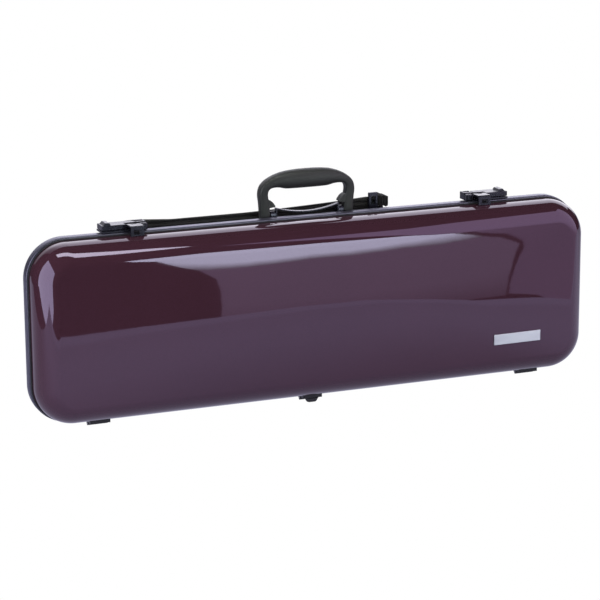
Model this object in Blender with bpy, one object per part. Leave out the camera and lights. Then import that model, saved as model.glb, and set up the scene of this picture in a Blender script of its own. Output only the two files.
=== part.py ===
"""Hard-shell oblong violin case, standing on its long side with the lid facing -Y.

Frame: X along the case, the lid towards -Y, +Z up. The origin is the middle of the
footprint, on the surface that the feet stand on. All sizes are in metres.
Heights are given about the middle of the case and depths from the seam between the shells;
meshes are moved by SEAM_Y and MID_Z as they are made.
"""
import bpy
import bmesh
from math import cos, hypot, pi, radians, sin
from mathutils import Vector

# Driving dimensions
CASE_L = 0.790
CASE_H = 0.240
CORNER_R = 0.050
FOOT_H = 0.011
MID_Z = FOOT_H + CASE_H / 2
SEAM_Y = -0.0175
SHELL_T = 0.0026
GAP = 0.0004

# Lid, measured from the seam plane y = 0
LID_RIM_Y = 0.0022
LID_WALL_Y = 0.010
LID_FILLET_X = 0.028
LID_EDGE_Y = 0.0430
LID_CROWN = 0.0070

# Rear shell: (y, inset of the ends, inset of the long sides)
REAR_PROFILE = (
    (0.0026, 0.0043, 0.0043), (0.0190, 0.0043, 0.0043), (0.0300, 0.0065, 0.0055),
    (0.0420, 0.0105, 0.0080), (0.0540, 0.0160, 0.0115), (0.0640, 0.0230, 0.0165),
    (0.0730, 0.0330, 0.0250), (0.0790, 0.0450, 0.0370), (0.0830, 0.0640, 0.0560),
    (0.0850, 0.0950, 0.0880),
)

# Edge band and gasket: (y, inset), negative insets stand proud of the outline
BAND_SECTION = (
    (0.0024, 0.0040), (0.0024, -0.0022), (0.0036, -0.0029), (0.0100, -0.0031),
    (0.0160, -0.0029), (0.0182, -0.0018), (0.0190, 0.0002), (0.0190, 0.0040),
)
GASKET_SECTION = ((-0.0018, 0.0062), (-0.0018, -0.0012), (0.0000, -0.0015),
                  (0.0020, -0.0013), (0.0020, 0.0062))
RIM_SECTION = ((-0.0085, 0.0074), (0.0045, 0.0080), (0.0045, 0.0094), (-0.0085, 0.0094))

# Outline subdivision, per half ring
SIDE_STEPS = 2
CORNER_STEPS = 5
LONG_STEPS = 6
MIN_RADIUS = 0.014

# Bottom hinges
HINGE_Z = -0.1272
HINGE_W = 0.0275
KNUCKLE_R = 0.0026
PIN_R = 0.0010
PIN_CLEARANCE = 0.0003
LEAF_START_Y = 0.0034
LEAF_LOW_Z = HINGE_Z + KNUCKLE_R - 0.0004
REAR_LEAF_Y = 0.0300
REAR_LEAF_TOP_Z = -0.1235
LID_LEAF_Y = 0.0145
LID_LEAF_TOP_Z = -0.1203
HINGE_X = {"left": -0.309, "middle": -0.009, "right": 0.319}
FOOT_TOP_R = 0.0095
FOOT_BASE_R = 0.0070
REAR_FOOT_X = 0.250
REAR_FOOT_Y = 0.054
FOOT_Y = 0.0190
FOOT_CHAMFER = 0.0010
# Middle foot, under the lid's leaf: (height above its base, half width, near y, far y)
FOOT_MIDDLE_ROWS = ((0.0, 0.0062, -0.0130, -0.0052), (FOOT_CHAMFER, 0.0072, -0.0136, -0.0046))
FOOT_MIDDLE_TOP = (FOOT_TOP_R, -0.0152, -0.0046)

# Blank plate: x and z limits, thickness
LABEL_X = (0.2480, 0.3200)
LABEL_Z = (-0.0708, -0.0560)
LABEL_T = 0.0009
LABEL_COLUMNS = 6

# Handle
HANDLE_Y = 0.028
HANDLE_Z = 0.1235
HANDLE_PIN_R = 0.0020
HANDLE_PIN_X = (0.0465, 0.0632)
HANDLE_STATIONS = (
    # inner (x, z), outer (x, z), half depth
    ((0.0575, 0.1172), (0.0632, 0.1172), 0.0024),
    ((0.0550, 0.1186), (0.0655, 0.1186), 0.0050),
    ((0.0538, 0.1210), (0.0665, 0.1210), 0.0062),
    ((0.0535, 0.1240), (0.0668, 0.1240), 0.0064),
    ((0.0545, 0.1400), (0.0678, 0.1400), 0.0066),
    ((0.0565, 0.1500), (0.0688, 0.1520), 0.0072),
    ((0.0560, 0.1560), (0.0664, 0.1620), 0.0080),
    ((0.0530, 0.1595), (0.0600, 0.1695), 0.0090),
    ((0.0470, 0.1606), (0.0505, 0.1755), 0.0098),
    ((0.0390, 0.1600), (0.0390, 0.1798), 0.0108),
    ((0.0300, 0.1580), (0.0280, 0.1820), 0.0116),
    ((0.0150, 0.1575), (0.0140, 0.1831), 0.0122),
    ((0.0000, 0.1575), (0.0000, 0.1833), 0.0125),
)
WING = ((0.0580, 0.1450), (0.0510, 0.1425), (0.0465, 0.1362), (0.0480, 0.1346), (0.0580, 0.1335))
WING_HALF_Y = 0.0052
BASE_HALF_X = 0.0526
BASE_HALF_Y = 0.0060
BASE_TOP_Z = 0.1185
BOSS_X = 0.0440
BOSS_R = 0.0055
# Dished lip in front of the bar: ends high, middle low
LIP_HALF_X = 0.0455
LIP_Y = (0.0222, 0.0280)
LIP_END_Z = 0.1335
LIP_MIDDLE_Z = 0.1262
LIP_T = 0.0015
LIP_STEPS = 12

# Latches, right-hand one; the left one is its mirror image moved outwards by the shift
LATCH_SHIFT = {"left": -0.0040, "right": 0.0}
LATCH_HUB_X = 0.2340
LATCH_PIVOT_Z = 0.1300
LATCH_PIN_R = 0.0009
PIN_BORE_R = LATCH_PIN_R + 0.0003
PLATE_LOW = (0.2400, 0.0022, 0.1236)
PLATE_HIGH = (0.2908, 0.0262, 0.1262)
HUB_LOW = (0.2282, 0.0110, 0.1236)
HUB_HIGH = (0.2415, 0.0258, 0.1340)
CHEEK_LOW = (0.2282, 0.0030, 0.1236)
CHEEK_HIGH = (0.2379, 0.0120, 0.1328)
HUB_SLOT_LOW = (0.2304, 0.0150, 0.1264)
HUB_SLOT_HIGH = (0.2440, 0.0224, 0.1400)
LEVER_EYE_R = 0.0031
LEVER_NECK_X = 0.2600
LEVER_NECK_Y = (0.0154, 0.0220)
LEVER_ROOT_LOW = (0.2438, 0.0128, 0.1266)
LEVER_ROOT_HIGH = (0.2600, 0.0255, 0.1334)
LEVER_LOW = (0.2578, 0.0030, 0.1266)
LEVER_HIGH = (0.2904, 0.0255, 0.1334)
LEVER_NUB = ((0.2770, 0.1328), (0.2792, 0.1362), (0.2846, 0.1366), (0.2884, 0.1328))
LEVER_NUB_Y = (0.0060, 0.0225)
HASP_X = (0.2385, 0.2565)
HASP_PIVOT_Y = 0.0065
HASP_PIVOT_Z = 0.1298
HASP_R = 0.0030
HASP_TOP_Z = 0.1336
HASP_LOW_Z = 0.1204
HASP_FRONT_Y = -0.0134
HASP_BACK_Y = -0.0108
HASP_GAP_X = (0.2440, 0.2510)
WINDOW_X = (0.2434, 0.2526)
WINDOW_Z = (0.1226, 0.1282)
SLIDER_X = (0.2444, 0.2506)
SLIDER_BACK_Y = 0.0118
CATCH_X = (0.2442, 0.2518)
CATCH_TOOTH = (
    (-0.0030, 0.1204), (-0.0098, 0.1204), (-0.0098, 0.1229), (-0.0104, 0.1232), (-0.0118, 0.1264),
    (-0.0118, 0.1270), (-0.0098, 0.1276), (-0.0098, 0.1284), (-0.0030, 0.1284),
)

# Shoulder strap lying along the top
STRAP_Y = 0.0545
STRAP_W = 0.0250
STRAP_LOW_Z = 0.1150
STRAP_LEAN = 0.0046
STRAP_EDGE = 0.0020
STRAP_STEPS = 22
STRAP_ENDS = (-0.2560, 0.1080)
LUG_X = {"left": -0.2635, "right": 0.1180}
LUG_HALF_X = 0.0045
LUG_HALF_Y = 0.0090
LUG_TOP = ((STRAP_Y + 0.0060, 0.1166), (STRAP_Y - 0.0060, 0.1174))
# Slide on the front of the strap's end, with a window for the webbing
SLIDE_X = (0.0965, 0.1100)
SLIDE_Y = (0.0375, 0.0416)
SLIDE_Z = (0.1180, 0.1400)
SLIDE_WINDOW_X = (0.1000, 0.1068)
SLIDE_WINDOW_Z = (0.1240, 0.1350)
LOOP_LOW = (0.1106, 0.0430, 0.1180)
LOOP_HIGH = (0.1280, 0.0660, 0.1345)

# Interior
DECK_Y = 0.0085
FLOOR_Y = 0.0520
FOAM_T = 0.0025
LINING_GAP = 0.0006
LINING_T = 0.0030
RING_STEPS = 26
CAVITY_MIDDLE_X = 0.0535
DECK_INSET_X = 0.0105
DECK_INSET_Z = 0.0086
DIVIDER_X = (-0.2590, -0.2560)
TRAY_FLOOR_Y = 0.0460
TRAY_T = 0.0020
PANEL_T = 0.0030
FLAP_HINGE_X = -0.3245
BOW_X = 0.250
BOW_Z = {"upper": 0.045, "lower": -0.045}
POCKET_X = (-0.300, -0.235)
POCKET_HALF_Z = 0.016
DIAL_R = 0.0230
GLASS_R = 0.0200
INSTRUMENT_HALF = (
    # bottom block, lower bout, waist, upper bout, neck, scroll
    (0.357, 0.000), (0.355, 0.040), (0.336, 0.082), (0.300, 0.103), (0.262, 0.1055), (0.222, 0.092),
    (0.180, 0.068), (0.142, 0.066), (0.105, 0.080), (0.066, 0.087), (0.030, 0.079), (0.006, 0.052),
    (-0.006, 0.033), (-0.060, 0.029), (-0.130, 0.029), (-0.185, 0.036), (-0.225, 0.036), (-0.246, 0.022),
    (-0.250, 0.000),
)

COLOURS = {
    "purple_shell": ((0.075, 0.018, 0.055), 0.12, 0.0),
    "edge_band": ((0.085, 0.080, 0.100), 0.38, 0.3),
    "seal_rubber": ((0.010, 0.010, 0.011), 0.60, 0.0),
    "black_plastic": ((0.016, 0.016, 0.018), 0.35, 0.0),
    "soft_grip": ((0.022, 0.022, 0.023), 0.55, 0.0),
    "foot_rubber": ((0.012, 0.012, 0.012), 0.75, 0.0),
    "hinge_metal": ((0.030, 0.030, 0.032), 0.40, 0.8),
    "pin_steel": ((0.550, 0.550, 0.570), 0.30, 1.0),
    "label_metal": ((0.620, 0.610, 0.640), 0.35, 0.9),
    "webbing": ((0.018, 0.019, 0.015), 0.90, 0.0),
    "velour": ((0.030, 0.030, 0.034), 0.95, 0.0),
    "dial_glass": ((0.850, 0.870, 0.880), 0.05, 0.0),
}


def clear_scene():
    for obj in list(bpy.data.objects):
        bpy.data.objects.remove(obj, do_unlink=True)


def material(name):
    """The Principled material of one slot, made once."""
    if name in bpy.data.materials:
        return bpy.data.materials[name]
    colour, roughness, metallic = COLOURS[name]
    mat = bpy.data.materials.new(name)
    mat.use_nodes = True
    shader = mat.node_tree.nodes["Principled BSDF"]
    shader.inputs["Base Color"].default_value = (*colour, 1.0)
    shader.inputs["Roughness"].default_value = roughness
    shader.inputs["Metallic"].default_value = metallic
    return mat


def add_object(name, bm, slot, smooth=None, pivot=None):
    """Turn a bmesh in case coordinates into a named object, its origin at pivot."""
    bmesh.ops.translate(bm, verts=bm.verts[:], vec=(0, SEAM_Y, MID_Z))
    bmesh.ops.recalc_face_normals(bm, faces=bm.faces[:])
    mesh = bpy.data.meshes.new(name)
    origin = Vector((0, 0, 0))
    if pivot is not None:
        origin = Vector(pivot) + Vector((0, SEAM_Y, MID_Z))
    bmesh.ops.translate(bm, verts=bm.verts[:], vec=-origin)
    bm.to_mesh(mesh)
    bm.free()
    obj = bpy.data.objects.new(name, mesh)
    obj.location = origin
    bpy.context.collection.objects.link(obj)
    mesh.materials.append(material(slot))
    if smooth is not None:
        mesh.shade_smooth()
        mesh.set_sharp_from_angle(angle=radians(smooth))
    return obj


def boolean(obj, bm, operation, name):
    """Cut or join a bmesh, given in case coordinates, with an object."""
    other = add_object(name, bm, "black_plastic")
    other.hide_render = True
    other.display_type = "WIRE"
    modifier = obj.modifiers.new(name, "BOOLEAN")
    modifier.operation = operation
    modifier.object = other


# Mesh builders

def ladder_cap(bm, ring):
    """Close a ring that is symmetric about its first and middle points."""
    count = len(ring)
    half = count // 2
    bm.faces.new((ring[0], ring[1], ring[count - 1]))
    for i in range(1, half - 1):
        bm.faces.new((ring[i], ring[i + 1], ring[count - i - 1], ring[count - i]))
    bm.faces.new((ring[half - 1], ring[half], ring[half + 1]))


def loft(rings, closed=False):
    """Skin a list of rings; open lofts are capped, closed ones join end to start."""
    bm = bmesh.new()
    grid = [[bm.verts.new(point) for point in ring] for ring in rings]
    pairs = list(zip(grid, grid[1:]))
    if closed:
        pairs.append((grid[-1], grid[0]))
    for lower, upper in pairs:
        for i in range(len(lower)):
            j = (i + 1) % len(lower)
            bm.faces.new((lower[i], lower[j], upper[j], upper[i]))
    if not closed:
        ladder_cap(bm, grid[0])
        ladder_cap(bm, grid[-1])
    return bm


def block(low, high, bevel=0.0):
    """A box from its two corners, with its edges rounded."""
    bm = bmesh.new()
    bmesh.ops.create_cube(bm, size=1.0)
    size = Vector(high) - Vector(low)
    bmesh.ops.scale(bm, vec=size, verts=bm.verts[:])
    bmesh.ops.translate(bm, vec=(Vector(high) + Vector(low)) / 2, verts=bm.verts[:])
    if bevel:
        bmesh.ops.bevel(bm, geom=bm.edges[:], offset=bevel, segments=2, profile=0.5, affect="EDGES")
    return bm


def prism(profile, low, high, axis="X"):
    """Extrude a closed profile: (y, z) points along X, (x, z) along Y, (x, y) along Z."""
    place = {"X": lambda u, v, w: (w, u, v), "Y": lambda u, v, w: (u, w, v),
             "Z": lambda u, v, w: (u, v, w)}[axis]
    bm = bmesh.new()
    near = [bm.verts.new(place(u, v, low)) for u, v in profile]
    far = [bm.verts.new(place(u, v, high)) for u, v in profile]
    bm.faces.new(near)
    bm.faces.new(far[::-1])
    for i in range(len(near)):
        j = (i + 1) % len(near)
        bm.faces.new((near[i], far[i], far[j], near[j]))
    return bm


def arc(centre_u, centre_v, radius, start, end, steps):
    """Points on an arc, angles in degrees."""
    points = []
    for k in range(steps + 1):
        angle = radians(start + (end - start) * k / steps)
        points.append((centre_u + radius * cos(angle), centre_v + radius * sin(angle)))
    return points


def circle(centre_u, centre_v, radius, steps=16):
    return arc(centre_u, centre_v, radius, 0, 360 - 360 / steps, steps - 1)


def frustum(centre, axis_profile, steps=20):
    """A turned solid about a vertical line: (z, radius) pairs from bottom to top."""
    rings = []
    for z, radius in axis_profile:
        rings.append([(centre[0] + u, centre[1] + v, z) for u, v in circle(0, 0, radius, steps)])
    return loft(rings)


def half_outline(half_x, half_z, radius):
    """Upper half of a rounded rectangle as (x, z), from its right end to its left end."""
    points = []
    for k in range(SIDE_STEPS):
        points.append((half_x, (half_z - radius) * k / SIDE_STEPS))
    points += arc(half_x - radius, half_z - radius, radius, 0, 90, CORNER_STEPS)
    for k in range(1, LONG_STEPS):
        points.append((half_x - radius - 2 * (half_x - radius) * k / LONG_STEPS, half_z))
    points += arc(-half_x + radius, half_z - radius, radius, 90, 180, CORNER_STEPS)
    for k in range(SIDE_STEPS - 1, -1, -1):
        points.append((-half_x, (half_z - radius) * k / SIDE_STEPS))
    return points


def mirror_half(points):
    """Complete a half outline that starts and ends on the z = 0 line."""
    return points + [(x, -z) for x, z in points[-2:0:-1]]


def outline(inset_x, inset_z=None):
    """The case's outline moved inwards, as (x, z) points."""
    if inset_z is None:
        inset_z = inset_x
    radius = max(CORNER_R - (inset_x + inset_z) / 2, MIN_RADIUS)
    return mirror_half(half_outline(CASE_L / 2 - inset_x, CASE_H / 2 - inset_z, radius))


def flat_ring(points, y):
    return [(x, y, z) for x, z in points]


# Shells and the seam

def lid_front(x, z):
    """Depth of the lid's crowned face at a point, before any offset."""
    across = 1 - (2 * x / CASE_L) ** 2
    up = 1 - (2 * z / CASE_H) ** 2
    return LID_EDGE_Y + LID_CROWN * max(across, 0) * max(up, 0)


def lid_rings(inset, offset, rim_y):
    """Rings of a lid-shaped skin from its rim to its middle, set in by inset and offset."""
    rings = [flat_ring(outline(inset), -rim_y), flat_ring(outline(inset), -LID_WALL_Y)]
    for angle in (20, 40, 60, 78, 90):
        step_in = inset + (LID_FILLET_X - inset) * (1 - cos(radians(angle)))
        rise = sin(radians(angle))
        ring = []
        for x, z in outline(step_in):
            y = LID_WALL_Y + (lid_front(x, z) - offset - LID_WALL_Y) * rise
            ring.append((x, -y, z))
        rings.append(ring)
    for step_in in (0.050, 0.080, 0.104):
        rings.append([(x, -(lid_front(x, z) - offset), z) for x, z in outline(step_in)])
    return rings


def make_lid_shell():
    outer = lid_rings(0.0, 0.0, LID_RIM_Y)
    inner = lid_rings(SHELL_T, SHELL_T, LID_RIM_Y)
    return add_object("lid_shell", loft(outer[::-1] + inner), "purple_shell", smooth=50)


def make_lid_lining():
    inset = SHELL_T + LINING_GAP
    outer = lid_rings(inset, inset, LID_WALL_Y - 0.0010)
    inner = lid_rings(inset + LINING_T, inset + LINING_T, LID_WALL_Y - 0.0010)
    return add_object("lid_lining", loft(outer[::-1] + inner), "velour", smooth=50)


def rear_rings(offset):
    """Rings of the rear shell's skin, moved inwards by offset."""
    rings = []
    for y, inset_x, inset_z in REAR_PROFILE:
        depth = y - offset if y > REAR_PROFILE[1][0] else y
        rings.append(flat_ring(outline(inset_x + offset, inset_z + offset), depth))
    return rings


def make_rear_shell():
    rings = rear_rings(0.0)[::-1] + rear_rings(SHELL_T)
    return add_object("rear_shell", loft(rings), "purple_shell", smooth=50)


def make_frame(name, section, slot):
    """A closed frame that follows the case's outline with a given section."""
    rings = [flat_ring(outline(inset), y) for y, inset in section]
    return add_object(name, loft(rings, closed=True), slot, smooth=40)


def make_label_plate():
    """Blank plate on the lid, bent to the crown of the front."""
    low_x, high_x = LABEL_X
    bm = bmesh.new()
    layers = []
    for lift in (GAP, GAP + LABEL_T):
        rows = []
        for z in LABEL_Z:
            row = []
            for k in range(LABEL_COLUMNS + 1):
                x = low_x + (high_x - low_x) * k / LABEL_COLUMNS
                row.append(bm.verts.new((x, -lid_front(x, z) - lift, z)))
            rows.append(row)
        layers.append(rows)
    back, front = layers
    for k in range(LABEL_COLUMNS):
        for low, high in (back, front):
            bm.faces.new((low[k], low[k + 1], high[k + 1], high[k]))
        for side in (0, 1):
            bm.faces.new((back[side][k], back[side][k + 1], front[side][k + 1], front[side][k]))
    for k in (0, LABEL_COLUMNS):
        bm.faces.new((back[0][k], back[1][k], front[1][k], front[0][k]))
    return add_object("label_plate", bm, "label_metal", smooth=40)


# Bottom hinges and feet

def knuckle_profile(side):
    """Barrel on the hinge's axis and its web to the leaf; side is 1 at the rear, -1 at the lid."""
    barrel = arc(0, HINGE_Z, KNUCKLE_R, 160, 360, 8)
    web = [(LEAF_START_Y + 0.0006, HINGE_Z), (LEAF_START_Y + 0.0006, LEAF_LOW_Z + 0.0008),
           (0.0, HINGE_Z + KNUCKLE_R + 0.0002)]
    return [(side * y, z) for y, z in barrel + web]


def hinge_leaf(name, x, side, far_y, top_z, spans):
    """One leaf: a plate, its knuckles over the given spans and the bore for the pin."""
    half = HINGE_W / 2
    low_y, high_y = sorted((side * LEAF_START_Y, side * far_y))
    plate = block((x - half, low_y, LEAF_LOW_Z), (x + half, high_y, top_z), 0.0004)
    leaf = add_object(name, plate, "hinge_metal", pivot=(x, 0, HINGE_Z))
    for index, (start, end) in enumerate(spans):
        knuckle = prism(knuckle_profile(side), x + start, x + end)
        boolean(leaf, knuckle, "UNION", f"{name}_knuckle_{index}")
    bore = prism(circle(0, HINGE_Z, PIN_R + PIN_CLEARANCE), x - half - 0.001, x + half + 0.001)
    boolean(leaf, bore, "DIFFERENCE", f"{name}_bore")


def make_hinges():
    half = HINGE_W / 2
    split = HINGE_W / 6
    for side, x in HINGE_X.items():
        rear_spans = ((-half, -split), (split, half))
        lid_spans = ((-split + GAP, split - GAP),)
        hinge_leaf(f"hinge_leaf_rear_{side}", x, 1, REAR_LEAF_Y, REAR_LEAF_TOP_Z, rear_spans)
        hinge_leaf(f"hinge_leaf_lid_{side}", x, -1, LID_LEAF_Y, LID_LEAF_TOP_Z, lid_spans)
        pin = prism(circle(0, HINGE_Z, PIN_R, 12), x - half, x + half)
        add_object(f"hinge_pin_{side}", pin, "pin_steel", smooth=40, pivot=(x, 0, HINGE_Z))


def make_feet():
    base = -MID_Z
    top = LEAF_LOW_Z - GAP
    for side in ("left", "right"):
        profile = ((base, FOOT_BASE_R - FOOT_CHAMFER), (base + FOOT_CHAMFER, FOOT_BASE_R), (top, FOOT_TOP_R))
        add_object(f"foot_{side}", frustum((HINGE_X[side], FOOT_Y), profile), "foot_rubber", smooth=30)
    rings = []
    for height, half_x, low_y, high_y in FOOT_MIDDLE_ROWS + ((top - base, *FOOT_MIDDLE_TOP),):
        middle, half_y = (low_y + high_y) / 2, (high_y - low_y) / 2
        section = half_section(half_x, half_y, half_y * 0.8, CORNER_STEPS)
        rings.append([(HINGE_X["middle"] + u, middle + v, base + height) for u, v in section])
    add_object("foot_middle", loft(rings), "foot_rubber", smooth=30)
    shell_z = rear_inset_z(REAR_FOOT_Y - FOOT_TOP_R) - CASE_H / 2 - GAP
    profile = ((base, FOOT_BASE_R), (base + FOOT_CHAMFER, FOOT_BASE_R + FOOT_CHAMFER), (shell_z, FOOT_TOP_R))
    for side, sign in (("left", -1), ("right", 1)):
        foot = frustum((sign * REAR_FOOT_X, REAR_FOOT_Y), profile)
        add_object(f"foot_rear_{side}", foot, "foot_rubber", smooth=30)


def half_section(half_u, half_v, corner, steps):
    """A whole rounded rectangle as (u, v) points, symmetric about the v = 0 line."""
    top = [(half_u, 0.0)] + arc(half_u - corner, half_v - corner, corner, 0, 90, steps)
    top += arc(-half_u + corner, half_v - corner, corner, 90, 180, steps) + [(-half_u, 0.0)]
    return mirror_half(top)


def rear_inset_z(y):
    """Inset of the rear shell's long sides at a depth, read from its profile."""
    for (y0, _, z0), (y1, _, z1) in zip(REAR_PROFILE, REAR_PROFILE[1:]):
        if y0 <= y <= y1:
            return z0 + (z1 - z0) * (y - y0) / (y1 - y0)
    return REAR_PROFILE[-1][2]


# Handle

def handle_ring(sign, inner, outer, half_depth, steps=12):
    """One section of the bail: a rounded section between its inner and outer points."""
    middle = Vector(((inner[0] + outer[0]) / 2, (inner[1] + outer[1]) / 2))
    reach = (Vector(outer) - Vector(inner)) / 2
    ring = []
    for u, v in superellipse(steps):
        x = middle.x + reach.x * u
        z = middle.y + reach.y * u
        ring.append((sign * x, HANDLE_Y + half_depth * v, z))
    return ring


def superellipse(steps, power=0.62):
    """Unit points of a rounded square, the first at u = 1."""
    points = []
    for k in range(steps):
        angle = 2 * pi * k / steps
        c, s = cos(angle), sin(angle)
        points.append((abs(c) ** power * (1 if c > 0 else -1), abs(s) ** power * (1 if s > 0 else -1)))
    return points


def make_handle_grip():
    rings = [handle_ring(1, *station) for station in HANDLE_STATIONS]
    rings += [handle_ring(-1, *station) for station in HANDLE_STATIONS[-2::-1]]
    pivot = (0, HANDLE_Y, HANDLE_Z)
    grip = add_object("handle_grip", loft(rings), "soft_grip", smooth=40, pivot=pivot)
    for side, sign in (("left", -1), ("right", 1)):
        profile = [(sign * x, z) for x, z in WING]
        wing = prism(profile, HANDLE_Y - WING_HALF_Y, HANDLE_Y + WING_HALF_Y, "Y")
        boolean(grip, wing, "UNION", f"handle_wing_{side}")
        bore = prism(circle(HANDLE_Y, HANDLE_Z, HANDLE_PIN_R + GAP), sign * 0.0500, sign * 0.0640)
        boolean(grip, bore, "DIFFERENCE", f"handle_bore_{side}")
    return grip


def lip_profile():
    """Curved strip from boss to boss with a short leg down at each end, as (x, z) points."""
    upper, lower = [], []
    for k in range(LIP_STEPS + 1):
        share = 2 * k / LIP_STEPS - 1
        z = LIP_MIDDLE_Z + (LIP_END_Z - LIP_MIDDLE_Z) * share * share
        upper.append((share * LIP_HALF_X, z))
        lower.append((share * BOSS_X, z - LIP_T))
    ends = [(LIP_HALF_X, HANDLE_Z), (BOSS_X, HANDLE_Z)]
    return upper + ends + lower[::-1] + [(-x, z) for x, z in ends[::-1]]


def make_handle_base():
    """Bar on the rear shell between the legs, a boss for each pivot pin and a dished lip."""
    low, high = HANDLE_Y - BASE_HALF_Y, HANDLE_Y + BASE_HALF_Y
    under = [(y, CASE_H / 2 - rear_inset_z(y) + GAP) for y in (low, REAR_PROFILE[2][0], high)]
    bar = [(high, BASE_TOP_Z), (low, BASE_TOP_Z)]
    base = add_object("handle_base", prism(under + bar, -BASE_HALF_X, BASE_HALF_X), "black_plastic")
    boss_low = BASE_TOP_Z - BASE_HALF_Y / 8
    for side, sign in (("left", -1), ("right", 1)):
        boss = [(low, boss_low)] + arc(HANDLE_Y, HANDLE_Z, BOSS_R, 180, 0, 8) + [(high, boss_low)]
        ends = sorted((sign * BOSS_X, sign * BASE_HALF_X))
        boolean(base, prism(boss, *ends), "UNION", f"handle_boss_{side}")
    boolean(base, prism(lip_profile(), *LIP_Y, "Y"), "UNION", "handle_lip")
    for side, sign in (("left", -1), ("right", 1)):
        bore_ends = (sign * (HANDLE_PIN_X[0] - GAP), sign * (BASE_HALF_X + PIN_R))
        bore = prism(circle(HANDLE_Y, HANDLE_Z, HANDLE_PIN_R + GAP), *bore_ends)
        boolean(base, bore, "DIFFERENCE", f"handle_base_bore_{side}")
        pin_ends = sorted(sign * x for x in HANDLE_PIN_X)
        pin = prism(circle(HANDLE_Y, HANDLE_Z, HANDLE_PIN_R), *pin_ends)
        add_object(f"handle_pin_{side}", pin, "pin_steel", smooth=40)
    return base


# Latches

def handed(bm, side):
    """Move a bmesh of the right-hand latch to its side, mirrored for the left."""
    if side == "left":
        bmesh.ops.scale(bm, vec=(-1, 1, 1), verts=bm.verts[:])
        bmesh.ops.reverse_faces(bm, faces=bm.faces[:])
    bmesh.ops.translate(bm, vec=(LATCH_SHIFT[side], 0, 0), verts=bm.verts[:])
    return bm


def handed_x(x, side):
    """The x position of a right-hand latch point on its side."""
    return (-x if side == "left" else x) + LATCH_SHIFT[side]


def lever_bore(side):
    hole = circle(LATCH_HUB_X, LATCH_PIVOT_Z, PIN_BORE_R, 12)
    return handed(prism(hole, HUB_LOW[1] - 0.001, HUB_HIGH[1] + 0.001, "Y"), side)


def hasp_bore(side):
    hole = circle(HASP_PIVOT_Y, HASP_PIVOT_Z, PIN_BORE_R, 12)
    return handed(prism(hole, HASP_X[0] - 0.001, HASP_X[1] + 0.001), side)


def make_latch_base(side):
    plate = handed(block(PLATE_LOW, PLATE_HIGH, 0.0004), side)
    base = add_object(f"latch_base_{side}", plate, "black_plastic")
    boolean(base, handed(block(HUB_LOW, HUB_HIGH, 0.0010), side), "UNION", f"latch_hub_{side}")
    boolean(base, handed(block(CHEEK_LOW, CHEEK_HIGH, 0.0016), side), "UNION", f"latch_cheek_{side}")
    boolean(base, handed(block(HUB_SLOT_LOW, HUB_SLOT_HIGH), side), "DIFFERENCE", f"latch_slot_{side}")
    boolean(base, lever_bore(side), "DIFFERENCE", f"latch_hub_bore_{side}")


def make_latch_lever(side):
    pivot = (handed_x(LATCH_HUB_X, side), (LEVER_NECK_Y[0] + LEVER_NECK_Y[1]) / 2, LATCH_PIVOT_Z)
    eye = arc(LATCH_HUB_X, LATCH_PIVOT_Z, LEVER_EYE_R, 90, 270, 8)
    neck = eye + [(LEVER_NECK_X, eye[-1][1]), (LEVER_NECK_X, eye[0][1])]
    lever = add_object(f"latch_lever_{side}", handed(prism(neck, *LEVER_NECK_Y, "Y"), side),
                       "black_plastic", smooth=30, pivot=pivot)
    root = block(LEVER_ROOT_LOW, LEVER_ROOT_HIGH, 0.0008)
    boolean(lever, handed(root, side), "UNION", f"lever_root_{side}")
    boolean(lever, handed(block(LEVER_LOW, LEVER_HIGH, 0.0010), side), "UNION", f"lever_body_{side}")
    boolean(lever, handed(prism(LEVER_NUB, *LEVER_NUB_Y, "Y"), side), "UNION", f"lever_nub_{side}")
    boolean(lever, lever_bore(side), "DIFFERENCE", f"lever_bore_{side}")
    pin = prism(circle(LATCH_HUB_X, LATCH_PIVOT_Z, LATCH_PIN_R, 12), HUB_LOW[1] + GAP, HUB_HIGH[1] - GAP, "Y")
    add_object(f"lever_pin_{side}", handed(pin, side), "pin_steel", smooth=40)


def make_latch_slider(side):
    """Draw block that carries the hasp's pin and is pushed forward by the lever."""
    front = HASP_PIVOT_Y - HASP_R
    profile = [(SLIDER_BACK_Y, LEVER_LOW[2]), (SLIDER_BACK_Y, HASP_PIVOT_Z + 0.0012)]
    profile += arc(HASP_PIVOT_Y, HASP_PIVOT_Z, HASP_R, 60, 180, 6) + [(front, LEVER_LOW[2])]
    draw_block = handed(prism(profile, *SLIDER_X), side)
    slider = add_object(f"latch_slider_{side}", draw_block, "black_plastic", smooth=30)
    boolean(slider, hasp_bore(side), "DIFFERENCE", f"slider_bore_{side}")


def hasp_profile():
    """Arm and front plate as (y, z) points, from the pivot over the seam and back."""
    inner_z = HASP_TOP_Z - (HASP_BACK_Y - HASP_FRONT_Y)
    chamfer = 0.0014
    arm = [(HASP_PIVOT_Y, HASP_TOP_Z - chamfer / 2), (HASP_FRONT_Y + chamfer, HASP_TOP_Z),
           (HASP_FRONT_Y, HASP_TOP_Z - chamfer), (HASP_FRONT_Y, HASP_LOW_Z), (HASP_BACK_Y, HASP_LOW_Z),
           (HASP_BACK_Y, inner_z), (HASP_R, inner_z), (HASP_R, HASP_PIVOT_Z - 0.0010)]
    return arm + arc(HASP_PIVOT_Y, HASP_PIVOT_Z, HASP_R, 200, 405, 9)


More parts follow.
